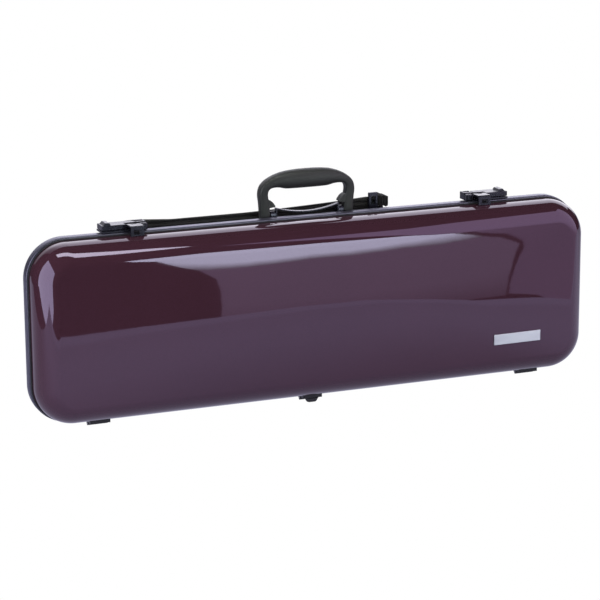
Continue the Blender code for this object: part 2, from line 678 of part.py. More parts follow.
def make_latch_hasp(side):
    """Arm that reaches over the seam, with a windowed plate in front of the catch."""
    pivot = (0, HASP_PIVOT_Y, HASP_PIVOT_Z)
    arm = handed(prism(hasp_profile(), *HASP_X), side)
    hasp = add_object(f"latch_hasp_{side}", arm, "black_plastic", smooth=30, pivot=pivot)
    gap = block((HASP_GAP_X[0], 0.0012, HASP_LOW_Z), (HASP_GAP_X[1], 0.0200, HASP_TOP_Z + 0.0050))
    boolean(hasp, handed(gap, side), "DIFFERENCE", f"hasp_gap_{side}")
    window = block((WINDOW_X[0], HASP_FRONT_Y - 0.0050, WINDOW_Z[0]), (WINDOW_X[1], -0.0050, WINDOW_Z[1]))
    boolean(hasp, handed(window, side), "DIFFERENCE", f"hasp_window_{side}")
    boolean(hasp, hasp_bore(side), "DIFFERENCE", f"hasp_bore_{side}")
    pin = prism(circle(HASP_PIVOT_Y, HASP_PIVOT_Z, LATCH_PIN_R, 12), HASP_X[0] + GAP, HASP_X[1] - GAP)
    add_object(f"hasp_pin_{side}", handed(pin, side), "pin_steel", smooth=40)


def make_lid_catch(side):
    """Block on the lid with the wedge tooth that the hasp's window hooks over."""
    add_object(f"lid_catch_{side}", handed(prism(CATCH_TOOTH, *CATCH_X), side), "hinge_metal")


def make_latches():
    for side in ("left", "right"):
        make_latch_base(side)
        make_latch_lever(side)
        make_latch_slider(side)
        make_latch_hasp(side)
        make_lid_catch(side)


# Shoulder strap

def strap_top(x):
    """Height of the strap's upper front edge along the case."""
    rise = 0.0065 * max(0.0, (x + 0.08) / 0.17) ** 1.5
    hump = 0.0035 * max(0.0, 1 - abs(x + 0.235) / 0.05)
    return 0.1262 + rise + hump


def strap_ring(x):
    """Section of the folded strap, leaning with the shell's top."""
    top = strap_top(x)
    low_y, high_y = STRAP_Y - STRAP_W / 2, STRAP_Y + STRAP_W / 2
    front = [(low_y, top - STRAP_EDGE), (low_y, STRAP_LOW_Z)]
    back = [(high_y, STRAP_LOW_Z - STRAP_LEAN), (high_y, top - STRAP_LEAN - STRAP_EDGE),
            (high_y - STRAP_EDGE, top - STRAP_LEAN), (low_y + STRAP_EDGE, top)]
    return [(x, y, z) for y, z in front + back]


def make_strap():
    low, high = STRAP_ENDS
    rings = [strap_ring(low + (high - low) * k / STRAP_STEPS) for k in range(STRAP_STEPS + 1)]
    add_object("shoulder_strap", loft(rings), "webbing", smooth=30)
    for side, x in LUG_X.items():
        depths = (STRAP_Y - LUG_HALF_Y, STRAP_Y, STRAP_Y + LUG_HALF_Y)
        under = [(y, CASE_H / 2 - rear_inset_z(y) + GAP) for y in depths]
        lug = prism(under + list(LUG_TOP), x - LUG_HALF_X, x + LUG_HALF_X)
        add_object(f"strap_lug_{side}", lug, "black_plastic")


def make_strap_buckle():
    """Slide on the strap's end and the folded webbing loop beyond it."""
    corners = list(zip(SLIDE_X, SLIDE_Y, SLIDE_Z))
    buckle = add_object("strap_buckle", block(*corners, 0.0009), "black_plastic")
    window = block((SLIDE_WINDOW_X[0], SLIDE_Y[0] - 0.001, SLIDE_WINDOW_Z[0]),
                   (SLIDE_WINDOW_X[1], SLIDE_Y[1] + 0.001, SLIDE_WINDOW_Z[1]))
    boolean(buckle, window, "DIFFERENCE", "buckle_window")
    add_object("strap_end_loop", block(LOOP_LOW, LOOP_HIGH, 0.0012), "webbing")


# Interior

def resample(points, count):
    """Spread count + 1 points evenly along a polyline."""
    lengths = [0.0]
    for (x0, z0), (x1, z1) in zip(points, points[1:]):
        lengths.append(lengths[-1] + hypot(x1 - x0, z1 - z0))
    spread = []
    segment = 0
    for k in range(count + 1):
        target = lengths[-1] * k / count
        while segment < len(points) - 2 and lengths[segment + 1] < target:
            segment += 1
        span = lengths[segment + 1] - lengths[segment]
        mix = min(max((target - lengths[segment]) / span, 0.0), 1.0)
        (x0, z0), (x1, z1) = points[segment], points[segment + 1]
        spread.append((x0 + (x1 - x0) * mix, z0 + (z1 - z0) * mix))
    return spread


def instrument_outline(shrink):
    """Outline of the instrument's cavity, narrowed by shrink."""
    half = []
    for x, z in INSTRUMENT_HALF:
        narrowed = CAVITY_MIDDLE_X + (x - CAVITY_MIDDLE_X) * (1 - shrink / 0.3)
        half.append((narrowed, max(z - shrink, 0.0)))
    half[0] = (half[0][0], 0.0)
    half[-1] = (half[-1][0], 0.0)
    return mirror_half(resample(half, RING_STEPS))


def deck_outline(low_x, high_x, half_z, low_radius, high_radius):
    """Rounded rectangle between two x positions, with evenly spread points."""
    half = [(high_x, 0.0)]
    half += arc(high_x - high_radius, half_z - high_radius, high_radius, 0, 90, CORNER_STEPS)
    half += arc(low_x + low_radius, half_z - low_radius, low_radius, 90, 180, CORNER_STEPS)
    half.append((low_x, 0.0))
    return mirror_half(resample(half, RING_STEPS))


def pan(outer, cavity, floor_y, thickness):
    """Thin moulded pan: an edge, a deck, sloping walls and a floor, with a back to match."""
    wall_y = floor_y - 0.010
    front = [flat_ring(cavity(0.010), floor_y), flat_ring(cavity(0.004), floor_y - 0.003),
             flat_ring(cavity(0.001), wall_y), flat_ring(cavity(0.0), DECK_Y)]
    edge = [flat_ring(outer, DECK_Y), flat_ring(outer, DECK_Y + thickness)]
    back = [flat_ring(cavity(-thickness), DECK_Y + thickness),
            flat_ring(cavity(0.001 - thickness), wall_y),
            flat_ring(cavity(0.004 - thickness), floor_y - 0.002),
            flat_ring(cavity(0.009), floor_y + thickness)]
    return loft(front + edge + back)


def make_instrument_insert():
    half_z = CASE_H / 2 - DECK_INSET_Z
    outer = deck_outline(DIVIDER_X[1], CASE_L / 2 - DECK_INSET_X, half_z, 0.006, 0.042)
    add_object("instrument_insert", pan(outer, instrument_outline, FLOOR_Y, FOAM_T), "velour", smooth=35)
    rest = block((-0.1350, 0.0300, -0.0240), (-0.0950, FLOOR_Y - 0.0035, 0.0240), 0.0040)
    add_object("neck_rest", rest, "velour", smooth=50)


def make_accessory_box():
    half_z = CASE_H / 2 - DECK_INSET_Z
    outer = deck_outline(DECK_INSET_X - CASE_L / 2, DIVIDER_X[0], half_z, 0.042, 0.006)
    tray = pan(outer, accessory_outline, TRAY_FLOOR_Y, TRAY_T)
    add_object("accessory_tray", tray, "velour", smooth=35)
    panel_y = DECK_Y - PANEL_T
    pivot = (FLAP_HINGE_X, panel_y, 0)
    cover = block((FLAP_HINGE_X + 0.0015, panel_y, -0.0930),
                  (DIVIDER_X[0] - 0.0050, DECK_Y - GAP, 0.0930), 0.0006)
    add_object("accessory_cover", cover, "velour")
    flap = block((-0.3610, panel_y, -0.0800), (FLAP_HINGE_X - GAP, DECK_Y - GAP, 0.0800), 0.0006)
    add_object("accessory_flap", flap, "velour", pivot=pivot)
    tab = block((-0.3585, panel_y - 0.0012, -0.0090), (-0.3485, panel_y - GAP, 0.0090), 0.0002)
    add_object("accessory_tab", tab, "webbing", pivot=pivot)


def accessory_outline(shrink):
    inside = 0.008 + shrink
    low_x, high_x = DECK_INSET_X - CASE_L / 2 + inside, DIVIDER_X[0] - inside
    half_z = CASE_H / 2 - DECK_INSET_Z - inside
    return deck_outline(low_x, high_x, half_z, 0.036 - shrink, 0.012 - shrink / 2)


def lining_face(x, z):
    """Inner face of the lid's lining."""
    return -(lid_front(x, z) - SHELL_T - LINING_GAP - LINING_T)


def make_bow_holder(name, z):
    """Post and turning toggle near one end of the lid, and the pocket for the bow's tip."""
    face = lining_face(BOW_X, z) + 0.0012
    toggle_y = face + 0.0124
    post = prism(circle(BOW_X, z, 0.0060, 16), face, toggle_y - GAP, "Y")
    add_object(f"bow_post_{name}", post, "black_plastic", smooth=40)
    wing = [(BOW_X + u, z + v) for u, v in half_section(0.0180, 0.0065, 0.0060, CORNER_STEPS)]
    toggle = prism(wing, toggle_y, toggle_y + 0.0030, "Y")
    add_object(f"bow_toggle_{name}", toggle, "black_plastic", smooth=40, pivot=(BOW_X, face, z))
    pocket_y = lining_face(POCKET_X[0], z) + 0.0016
    pocket = block((POCKET_X[0], pocket_y, z - POCKET_HALF_Z),
                   (POCKET_X[1], pocket_y + 0.0104, z + POCKET_HALF_Z), 0.0030)
    add_object(f"bow_tip_pocket_{name}", pocket, "velour", smooth=50)


def make_lid_fittings():
    """Bow holders and the hygrometer, on the lid's lining."""
    for name, z in BOW_Z.items():
        make_bow_holder(name, z)
    face = lining_face(0.0, 0.0) + 0.0010
    body = prism(circle(0.0, 0.0, DIAL_R, 28), face, face + 0.0070, "Y")
    add_object("hygrometer_body", body, "black_plastic", smooth=40)
    glass = prism(circle(0.0, 0.0, GLASS_R, 28), face + 0.0074, face + 0.0086, "Y")
    add_object("hygrometer_glass", glass, "dial_glass", smooth=40)


def main():
    clear_scene()
    make_rear_shell()
    make_lid_shell()
    make_frame("edge_band", BAND_SECTION, "edge_band")
    make_frame("seam_gasket", GASKET_SECTION, "seal_rubber")
    make_frame("lid_tongue", RIM_SECTION, "seal_rubber")
    make_lid_lining()
    make_label_plate()
    make_hinges()
    make_feet()
    make_handle_grip()
    make_handle_base()
    make_latches()
    make_strap()
    make_strap_buckle()
    make_instrument_insert()
    make_accessory_box()
    make_lid_fittings()


main()
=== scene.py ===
from math import cos, hypot, pi, radians, sin

import bmesh
import bpy
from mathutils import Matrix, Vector


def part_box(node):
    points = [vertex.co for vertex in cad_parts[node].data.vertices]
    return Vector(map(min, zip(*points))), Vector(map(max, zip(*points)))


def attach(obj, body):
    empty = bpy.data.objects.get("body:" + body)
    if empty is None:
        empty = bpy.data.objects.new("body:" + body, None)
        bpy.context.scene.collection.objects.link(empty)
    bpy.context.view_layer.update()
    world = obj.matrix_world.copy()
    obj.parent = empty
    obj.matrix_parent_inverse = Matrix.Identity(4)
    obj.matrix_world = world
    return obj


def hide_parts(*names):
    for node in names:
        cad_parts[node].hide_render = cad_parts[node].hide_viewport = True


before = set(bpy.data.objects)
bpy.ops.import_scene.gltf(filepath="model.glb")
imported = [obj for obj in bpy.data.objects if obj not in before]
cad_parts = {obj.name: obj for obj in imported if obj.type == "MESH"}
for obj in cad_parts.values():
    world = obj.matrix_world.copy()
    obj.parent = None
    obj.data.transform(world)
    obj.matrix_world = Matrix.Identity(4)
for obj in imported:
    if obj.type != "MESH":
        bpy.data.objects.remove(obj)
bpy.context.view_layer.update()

# Sizes read from the frame
LID_LOW, LID_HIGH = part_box("lid_shell")
CASE_L = LID_HIGH.x - LID_LOW.x
CASE_H = LID_HIGH.z - LID_LOW.z
MID_Z = (LID_HIGH.z + LID_LOW.z) / 2
LID_RIM_Y = 0.0022
SEAM_Y = LID_HIGH.y + LID_RIM_Y

# Endings in the names of repeated pieces
SIDES = ("left", "right")
LEVELS = ("upper", "lower")
HINGES = ("left", "middle", "right")

# Shells, with sections as (y, inset) and the rear profile as (y, inset x, inset z)
CORNER_R = 0.050
MIN_RADIUS = 0.014
SHELL_T = 0.0026
LID_WALL_Y = 0.010
LID_FILLET_X = 0.028
LID_EDGE_Y = 0.0430
LID_CROWN = 0.0070
FACE_INSETS = (0.033, 0.040, 0.048, 0.056, 0.066, 0.076, 0.086, 0.096, 0.104)
REAR_PROFILE = (
    (0.0026, 0.0043, 0.0043), (0.0190, 0.0043, 0.0043), (0.0300, 0.0065, 0.0055),
    (0.0420, 0.0105, 0.0080), (0.0540, 0.0160, 0.0115), (0.0640, 0.0230, 0.0165),
    (0.0730, 0.0330, 0.0250), (0.0790, 0.0450, 0.0370), (0.0830, 0.0640, 0.0560),
    (0.0850, 0.0950, 0.0880),
)
BAND_SECTION = (
    (0.0024, 0.0040), (0.0024, -0.0020), (0.0026, -0.0024), (0.0030, -0.0027), (0.0038, -0.0030),
    (0.0060, -0.0031), (0.0100, -0.0031), (0.0140, -0.0030), (0.0160, -0.0028), (0.0172, -0.0024),
    (0.0181, -0.0017), (0.0187, -0.0008), (0.0190, 0.0002), (0.0190, 0.0040),
)
GASKET_SECTION = ((-0.0018, 0.0062), (-0.0018, -0.0010), (-0.0012, -0.0014), (0.0000, -0.0015),
                  (0.0012, -0.0015), (0.0020, -0.0013), (0.0020, 0.0062))
# The plate's rings as (lift off the lid, inset)
LABEL_SECTION = ((0.0004, 0.0), (0.0011, 0.0), (0.0013, 0.00025))
LABEL_CORNER_R = 0.0007
RIM_SECTION = ((-0.0085, 0.0074), (0.0045, 0.0080), (0.0045, 0.0094), (-0.0085, 0.0094))

# Handle: inner (x, z), outer (x, z), half depth, heights about the middle of the case
HANDLE_Y = 0.028
HANDLE_STATIONS = (
    (0.0575, 0.1172, 0.0632, 0.1172, 0.0024),
    (0.0550, 0.1186, 0.0655, 0.1186, 0.0050),
    (0.0538, 0.1210, 0.0665, 0.1210, 0.0062),
    (0.0535, 0.1240, 0.0668, 0.1240, 0.0064),
    (0.0545, 0.1400, 0.0678, 0.1400, 0.0066),
    (0.0565, 0.1500, 0.0688, 0.1520, 0.0072),
    (0.0560, 0.1560, 0.0664, 0.1620, 0.0080),
    (0.0530, 0.1595, 0.0600, 0.1695, 0.0090),
    (0.0470, 0.1606, 0.0505, 0.1755, 0.0098),
    (0.0390, 0.1600, 0.0390, 0.1798, 0.0108),
    (0.0300, 0.1580, 0.0280, 0.1820, 0.0116),
    (0.0150, 0.1575, 0.0140, 0.1831, 0.0122),
    (0.0000, 0.1575, 0.0000, 0.1833, 0.0125),
)

HANDLE_STEPS = 32
# Power of the superellipse at the leg's foot, its rise, and the stretch it rises along
LEG_POWER = 0.36
POWER_RISE = 0.56
POWER_START = 0.40
POWER_SPAN = 0.45
# Wing on the inner side of each leg, as (x, z)
WING = ((0.0580, 0.1462), (0.0530, 0.1440), (0.0500, 0.1415), (0.0478, 0.1385), (0.0463, 0.1362),
        (0.0466, 0.1350), (0.0480, 0.1346), (0.0580, 0.1335))
WING_HALF_Y = 0.0056

# Strap
STRAP_Y = 0.0545
STRAP_W = 0.0250
STRAP_ENDS = (-0.2560, 0.1080)
STRAP_LEAN = 0.0046
STRAP_LOW_Z = 0.1150
STRAP_LAYERS = 6
STRAP_STEPS = 56
STRAP_FLAT_TOP_Z = 0.1262
STRAP_RISE = 0.0065
STRAP_RISE_FROM_X = -0.08
STRAP_RISE_SPAN = 0.17
STRAP_HUMP = 0.0035
STRAP_HUMP_X = -0.235
STRAP_HUMP_REACH = 0.05
FOLD_STAGGER = 0.004
LOOP_LAYERS = 5
LOOP_T = 0.00272
LOOP_INSET_X = 0.0013
LOOP_INSET_Z = 0.0016
LOOP_DROP = 0.0012
RIBBON_SECTION = ((-0.5, 0.30), (-0.5, -0.30), (-0.47, -0.5), (-0.25, -0.5), (0.0, -0.5), (0.25, -0.5),
                  (0.47, -0.5), (0.5, -0.30), (0.5, 0.30), (0.47, 0.5), (0.25, 0.5), (0.0, 0.5),
                  (-0.25, 0.5), (-0.47, 0.5))

# Camera, about the middle of the seam
CAMERA_AT = Vector((-1.1340, -2.7575, 0.7458))
CAMERA_AIM = Vector((-0.0209, 0.0, 0.0095))
CAMERA_ROLL = radians(-0.35838)
CAMERA_LENS = 136.72
CAMERA_SENSOR = 36.0


def place(x, y, z):
    """A point given about the middle of the seam, in the frame."""
    return Vector((x, y + SEAM_Y, z + MID_Z))


# ---------------------------------------------------------------- materials

def link(tree, source, target):
    tree.links.new(source, target)


def new_material(name, colour, roughness, **sockets):
    """A Principled material with its constant sockets set."""
    mat = bpy.data.materials.new(name)
    mat.use_nodes = True
    shader = mat.node_tree.nodes["Principled BSDF"]
    shader.inputs["Base Color"].default_value = (*colour, 1.0)
    shader.inputs["Roughness"].default_value = roughness
    for socket, value in sockets.items():
        shader.inputs[socket.replace("_", " ")].default_value = value
    return mat


def coordinates(tree, stretch=(1.0, 1.0, 1.0)):
    """Object coordinates in metres, stretched along the axes."""
    source = tree.nodes.new("ShaderNodeTexCoord")
    mapping = tree.nodes.new("ShaderNodeMapping")
    mapping.inputs["Scale"].default_value = stretch
    link(tree, source.outputs["Object"], mapping.inputs["Vector"])
    return mapping.outputs["Vector"]


def noise(tree, scale, detail=3.0, stretch=(1.0, 1.0, 1.0)):
    node = tree.nodes.new("ShaderNodeTexNoise")
    node.inputs["Scale"].default_value = scale
    node.inputs["Detail"].default_value = detail
    link(tree, coordinates(tree, stretch), node.inputs["Vector"])
    return node.outputs["Fac"]


def voronoi(tree, scale):
    node = tree.nodes.new("ShaderNodeTexVoronoi")
    node.inputs["Scale"].default_value = scale
    link(tree, coordinates(tree), node.inputs["Vector"])
    return node.outputs["Distance"]


def wave(tree, scale, axis, distortion=0.0):
    node = tree.nodes.new("ShaderNodeTexWave")
    node.bands_direction = axis
    node.inputs["Scale"].default_value = scale
    node.inputs["Distortion"].default_value = distortion
    link(tree, coordinates(tree), node.inputs["Vector"])
    return node.outputs["Fac"]


def remap(tree, value, low, high, start=0.3, end=0.7):
    """Map a 0 to 1 pattern onto a range."""
    node = tree.nodes.new("ShaderNodeMapRange")
    node.inputs["From Min"].default_value = start
    node.inputs["From Max"].default_value = end
    node.inputs["To Min"].default_value = low
    node.inputs["To Max"].default_value = high
    link(tree, value, node.inputs["Value"])
    return node.outputs["Result"]


def mix_colour(tree, factor, first, second):
    node = tree.nodes.new("ShaderNodeMix")
    node.data_type = "RGBA"
    for index, colour in ((6, first), (7, second)):
        if isinstance(colour, tuple):
            node.inputs[index].default_value = (*colour, 1.0)
        else:
            link(tree, colour, node.inputs[index])
    link(tree, factor, node.inputs[0])
    return node.outputs[2]


def maths(tree, operation, first, second):
    node = tree.nodes.new("ShaderNodeMath")
    node.operation = operation
    for index, value in enumerate((first, second)):
        if isinstance(value, (int, float)):
            node.inputs[index].default_value = value
        else:
            link(tree, value, node.inputs[index])
    return node.outputs[0]


def bump(tree, heights, strength=1.0, distance=0.0002):
    """Chain height patterns into the shader's normal."""
    previous = None
    for height in heights:
        node = tree.nodes.new("ShaderNodeBump")
        node.inputs["Strength"].default_value = strength
        node.inputs["Distance"].default_value = distance
        link(tree, height, node.inputs["Height"])
        if previous is not None:
            link(tree, previous, node.inputs["Normal"])
        previous = node.outputs["Normal"]
    link(tree, previous, tree.nodes["Principled BSDF"].inputs["Normal"])


def edge_wear(tree, amount):
    """Pattern that is strongest on worn edges, broken up by noise."""
    geometry = tree.nodes.new("ShaderNodeNewGeometry")
    edges = remap(tree, geometry.outputs["Pointiness"], 0.0, amount, 0.52, 0.60)
    return maths(tree, "MULTIPLY", edges, remap(tree, noise(tree, 300.0), 0.2, 1.0))


def lacquer():
    """Plum high-gloss lacquer with a fine metallic flake and a lilac clear coat."""
    mat = new_material("plum_lacquer", (0.0250, 0.0088, 0.0138), 0.05, IOR=1.52,
                       Specular_Tint=(0.84, 0.76, 1.0, 1.0))
    tree = mat.node_tree
    shader = tree.nodes["Principled BSDF"]
    flakes = remap(tree, voronoi(tree, 1400.0), 0.0, 1.0, 0.15, 0.55)
    cloud = remap(tree, noise(tree, 7.0), 0.0, 1.0)
    ground = mix_colour(tree, cloud, (0.0255, 0.0098, 0.0130), (0.0295, 0.0112, 0.0152))
    link(tree, mix_colour(tree, flakes, (0.0350, 0.0140, 0.0220), ground), shader.inputs["Base Color"])
    smudges = remap(tree, noise(tree, 22.0, 6.0), 0.018, 0.032)
    link(tree, smudges, shader.inputs["Roughness"])
    bump(tree, [noise(tree, 55.0, 2.0)], 0.08, 0.00010)
    return mat


def moulded(name, colour, low_roughness, high_roughness, grain=1500.0, depth=0.00006, wear=0.12, **sockets):
    """Moulded plastic, rubber or coated metal with a fine grain and lighter worn edges."""
    mat = new_material(name, colour, low_roughness, **sockets)
    tree = mat.node_tree
    shader = tree.nodes["Principled BSDF"]
    lighter = tuple(min(1.0, c * 1.9 + 0.012) for c in colour)
    darker = tuple(c * 0.82 for c in colour)
    ground = mix_colour(tree, remap(tree, noise(tree, 60.0), 0.0, 1.0), darker, colour)
    link(tree, mix_colour(tree, edge_wear(tree, wear * 3), ground, lighter), shader.inputs["Base Color"])
    link(tree, remap(tree, noise(tree, 240.0), low_roughness, high_roughness), shader.inputs["Roughness"])
    bump(tree, [noise(tree, grain, 2.0)], 0.5, depth)
    return mat


def brushed(name, colour, roughness, stretch):
    """Brushed metal with fine scratches along one way."""
    mat = new_material(name, colour, roughness, Metallic=1.0)
    tree = mat.node_tree
    shader = tree.nodes["Principled BSDF"]
    scratch = noise(tree, 900.0, 3.0, stretch)
    darker = tuple(c * 0.85 for c in colour)
    link(tree, mix_colour(tree, scratch, darker, colour), shader.inputs["Base Color"])
    link(tree, remap(tree, scratch, roughness * 0.8, roughness * 1.3), shader.inputs["Roughness"])
    bump(tree, [scratch], 0.4, 0.00003)
    return mat


def webbing():
    """Woven nylon webbing: fine ribs across, a coarser weave along, fuzzy sheen."""
    mat = new_material("woven_webbing", (0.012, 0.0125, 0.0095), 0.8, Sheen_Weight=0.06,
                       Sheen_Roughness=0.45, Specular_IOR_Level=0.15)
    tree = mat.node_tree
    shader = tree.nodes["Principled BSDF"]
    ribs = wave(tree, 190.0, "X", 0.6)
    threads = wave(tree, 260.0, "Y", 0.8)
    weave = maths(tree, "MULTIPLY", ribs, threads)
    tone = mix_colour(tree, weave, (0.0060, 0.0065, 0.0050), (0.0200, 0.0205, 0.0160))
    fade = remap(tree, noise(tree, 28.0), 0.0, 0.6)
    link(tree, mix_colour(tree, fade, tone, (0.0200, 0.0210, 0.0170)), shader.inputs["Base Color"])
    link(tree, remap(tree, noise(tree, 500.0), 0.70, 0.92), shader.inputs["Roughness"])
    bump(tree, [ribs, threads], 0.6, 0.00030)
    return mat


def velour(name, colour):
    """Short-pile velour: brushed patches, a soft sheen and a fine pile."""
    mat = new_material(name, colour, 0.95, Sheen_Weight=0.5, Sheen_Roughness=0.35,
                       Specular_IOR_Level=0.15)
    tree = mat.node_tree
    shader = tree.nodes["Principled BSDF"]
    lighter = tuple(c * 1.55 for c in colour)
    patches = remap(tree, noise(tree, 14.0, 4.0), 0.0, 1.0, 0.4, 0.65)
    pile = noise(tree, 2200.0, 2.0)
    ground = mix_colour(tree, patches, colour, lighter)
    link(tree, mix_colour(tree, remap(tree, pile, 0.0, 0.5), ground, tuple(c * 0.6 for c in colour)),
         shader.inputs["Base Color"])
    link(tree, remap(tree, pile, 0.85, 1.0), shader.inputs["Roughness"])
    bump(tree, [noise(tree, 60.0, 3.0), pile], 0.6, 0.00025)
    return mat


def glass():
    mat = new_material("dial_glass", (0.95, 0.97, 0.98), 0.02, Transmission_Weight=1.0, IOR=1.45)
    tree = mat.node_tree
    shader = tree.nodes["Principled BSDF"]
    link(tree, remap(tree, noise(tree, 90.0, 5.0), 0.01, 0.05), shader.inputs["Roughness"])
    return mat


MATERIALS = {
    "purple_shell": lacquer(),
    "edge_band": moulded("anthracite_band", (0.050, 0.050, 0.064), 0.30, 0.40, 2600.0, 0.00003,
                         Metallic=0.55, Specular_Tint=(0.86, 0.86, 1.0, 1.0)),
    "seal_rubber": moulded("seal_rubber", (0.004, 0.004, 0.0045), 0.55, 0.70, Specular_IOR_Level=0.25),
    "black_plastic": moulded("black_plastic", (0.0060, 0.0062, 0.0085), 0.20, 0.30, 1800.0, 0.00004, 0.02,
                             Specular_IOR_Level=0.30, Specular_Tint=(0.80, 0.84, 1.0, 1.0)),
    "soft_grip": moulded("soft_grip", (0.0078, 0.0084, 0.0066), 0.46, 0.60, 1300.0, 0.00005, 0.03,
                         Sheen_Weight=0.05, Sheen_Roughness=0.5, Specular_IOR_Level=0.35,
                         Specular_Tint=(0.92, 1.0, 0.90, 1.0)),
    "foot_rubber": moulded("foot_rubber", (0.006, 0.006, 0.006), 0.60, 0.80, 900.0, 0.00008),
    "hinge_metal": moulded("coated_metal", (0.012, 0.012, 0.013), 0.30, 0.45, 2200.0, 0.00004, Metallic=0.6),
    "pin_steel": brushed("pin_steel", (0.55, 0.55, 0.57), 0.28, (0.15, 1.0, 1.0)),
    "label_metal": brushed("label_metal", (0.46, 0.49, 0.47), 0.36, (0.05, 1.0, 1.0)),
    "webbing": webbing(),
    "velour": velour("grey_velour", (0.030, 0.030, 0.034)),
    "dial_glass": glass(),
}


# ---------------------------------------------------------------- mesh helpers

def add_piece(name, bm, slot, body, replaced=(), smooth=40.0):
    """A bmesh in seam coordinates becomes a piece that rides a body and stands for CAD nodes."""
    bmesh.ops.translate(bm, verts=bm.verts[:], vec=(0.0, SEAM_Y, MID_Z))
    bmesh.ops.recalc_face_normals(bm, faces=bm.faces[:])
    mesh = bpy.data.meshes.new(name)
    bm.to_mesh(mesh)
    bm.free()
    mesh.shade_smooth()
    if smooth is not None:
        mesh.set_sharp_from_angle(angle=radians(smooth))
    mesh.materials.append(MATERIALS[slot])
    obj = bpy.data.objects.new(name, mesh)
    bpy.context.scene.collection.objects.link(obj)
    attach(obj, body)
    if replaced:
        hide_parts(*replaced)
    return obj


def bevel(obj, width):
    """Round the sharp edges of a CAD node a little."""
    modifier = obj.modifiers.new("bevel", "BEVEL")
    modifier.width = width
    modifier.segments = 2
    modifier.limit_method = "ANGLE"
    modifier.angle_limit = radians(35)
    modifier.harden_normals = False


def ladder_cap(bm, ring):
    """Close a ring that is symmetric about its first and middle points."""
    count = len(ring)
    half = count // 2
    bm.faces.new((ring[0], ring[1], ring[count - 1]))
    for i in range(1, half - 1):
        bm.faces.new((ring[i], ring[i + 1], ring[count - i - 1], ring[count - i]))
    bm.faces.new((ring[half - 1], ring[half], ring[half + 1]))


def loft(rings, closed=False):
    """Skin a list of rings; open lofts are capped, closed ones join end to start."""
    bm = bmesh.new()
    grid = [[bm.verts.new(point) for point in ring] for ring in rings]
    pairs = list(zip(grid, grid[1:]))
    if closed:
        pairs.append((grid[-1], grid[0]))
    for lower, upper in pairs:
        for i in range(len(lower)):
            j = (i + 1) % len(lower)
            bm.faces.new((lower[i], lower[j], upper[j], upper[i]))
    if not closed:
        ladder_cap(bm, grid[0])
        ladder_cap(bm, grid[-1])
    return bm


def prism(profile, low, high):
    """Extrude a closed profile of (x, z) points along Y."""
    bm = bmesh.new()
    near = [bm.verts.new((x, low, z)) for x, z in profile]
    far = [bm.verts.new((x, high, z)) for x, z in profile]
    bm.faces.new(near)
    bm.faces.new(far[::-1])
    for i in range(len(near)):
        j = (i + 1) % len(near)
        bm.faces.new((near[i], far[i], far[j], near[j]))
    return bm


def arc(centre_u, centre_v, radius, start, end, steps):
    points = []
    for k in range(steps + 1):
        angle = radians(start + (end - start) * k / steps)
        points.append((centre_u + radius * cos(angle), centre_v + radius * sin(angle)))
    return points


def half_outline(half_x, half_z, radius, side_steps=7, corner_steps=20, long_steps=44):
    """Upper half of a rounded rectangle as (x, z), from its right end to its left end."""
    points = []
    for k in range(side_steps):
        points.append((half_x, (half_z - radius) * k / side_steps))
    points += arc(half_x - radius, half_z - radius, radius, 0, 90, corner_steps)
    for k in range(1, long_steps):
        points.append((half_x - radius - 2 * (half_x - radius) * k / long_steps, half_z))
    points += arc(-half_x + radius, half_z - radius, radius, 90, 180, corner_steps)
    for k in range(side_steps - 1, -1, -1):
        points.append((-half_x, (half_z - radius) * k / side_steps))
    return points


def mirror_half(points):
    return points + [(x, -z) for x, z in points[-2:0:-1]]


def outline(inset_x, inset_z=None):
    """The case's outline moved inwards, as (x, z) points."""
    if inset_z is None:
        inset_z = inset_x
    radius = max(CORNER_R - (inset_x + inset_z) / 2, MIN_RADIUS)
    return mirror_half(half_outline(CASE_L / 2 - inset_x, CASE_H / 2 - inset_z, radius))


def flat_ring(points, y):
    return [(x, y, z) for x, z in points]


def smooth_rows(rows, steps):
    """Catmull-Rom interpolation of rows of numbers, steps intervals per gap."""
    result = []
    last = len(rows) - 1
    for i in range(last):
        before, start, end, after = rows[max(i - 1, 0)], rows[i], rows[i + 1], rows[min(i + 2, last)]
        for k in range(steps):
            t = k / steps
            row = []
            for a, b, c, d in zip(before, start, end, after):
                row.append(0.5 * (2 * b + (c - a) * t + (2 * a - 5 * b + 4 * c - d) * t * t
                                  + (3 * b - a - 3 * c + d) * t ** 3))
            result.append(tuple(row))
    result.append(tuple(rows[-1]))
    return result


def smoothstep(value):
    value = min(max(value, 0.0), 1.0)
    return value * value * (3 - 2 * value)


# ---------------------------------------------------------------- shells

def lid_front(x, z):
    """Depth of the lid's crowned face in front of the seam."""
    across = max(1 - (2 * x / CASE_L) ** 2, 0.0)
    up = max(1 - (2 * z / CASE_H) ** 2, 0.0)
    return LID_EDGE_Y + LID_CROWN * across * up


def face_normal(x, z):
    """Outward normal of the lid's crowned face."""
    step = 0.0005
    slope_x = (lid_front(x + step, z) - lid_front(x - step, z)) / (2 * step)
    slope_z = (lid_front(x, z + step) - lid_front(x, z - step)) / (2 * step)
    return Vector((-slope_x, -1.0, -slope_z)).normalized()


def outward(x, z):
    """Direction out of the case's outline in the plane of the seam."""
    over_x = max(abs(x) - (CASE_L / 2 - CORNER_R), 0.0)
    over_z = max(abs(z) - (CASE_H / 2 - CORNER_R), 0.0)
    way = Vector((over_x if x > 0 else -over_x, 0.0, over_z if z > 0 else -over_z))
    if way.length < 1e-9:
        return Vector((0.0, 0.0, 0.0))
    return way.normalized()


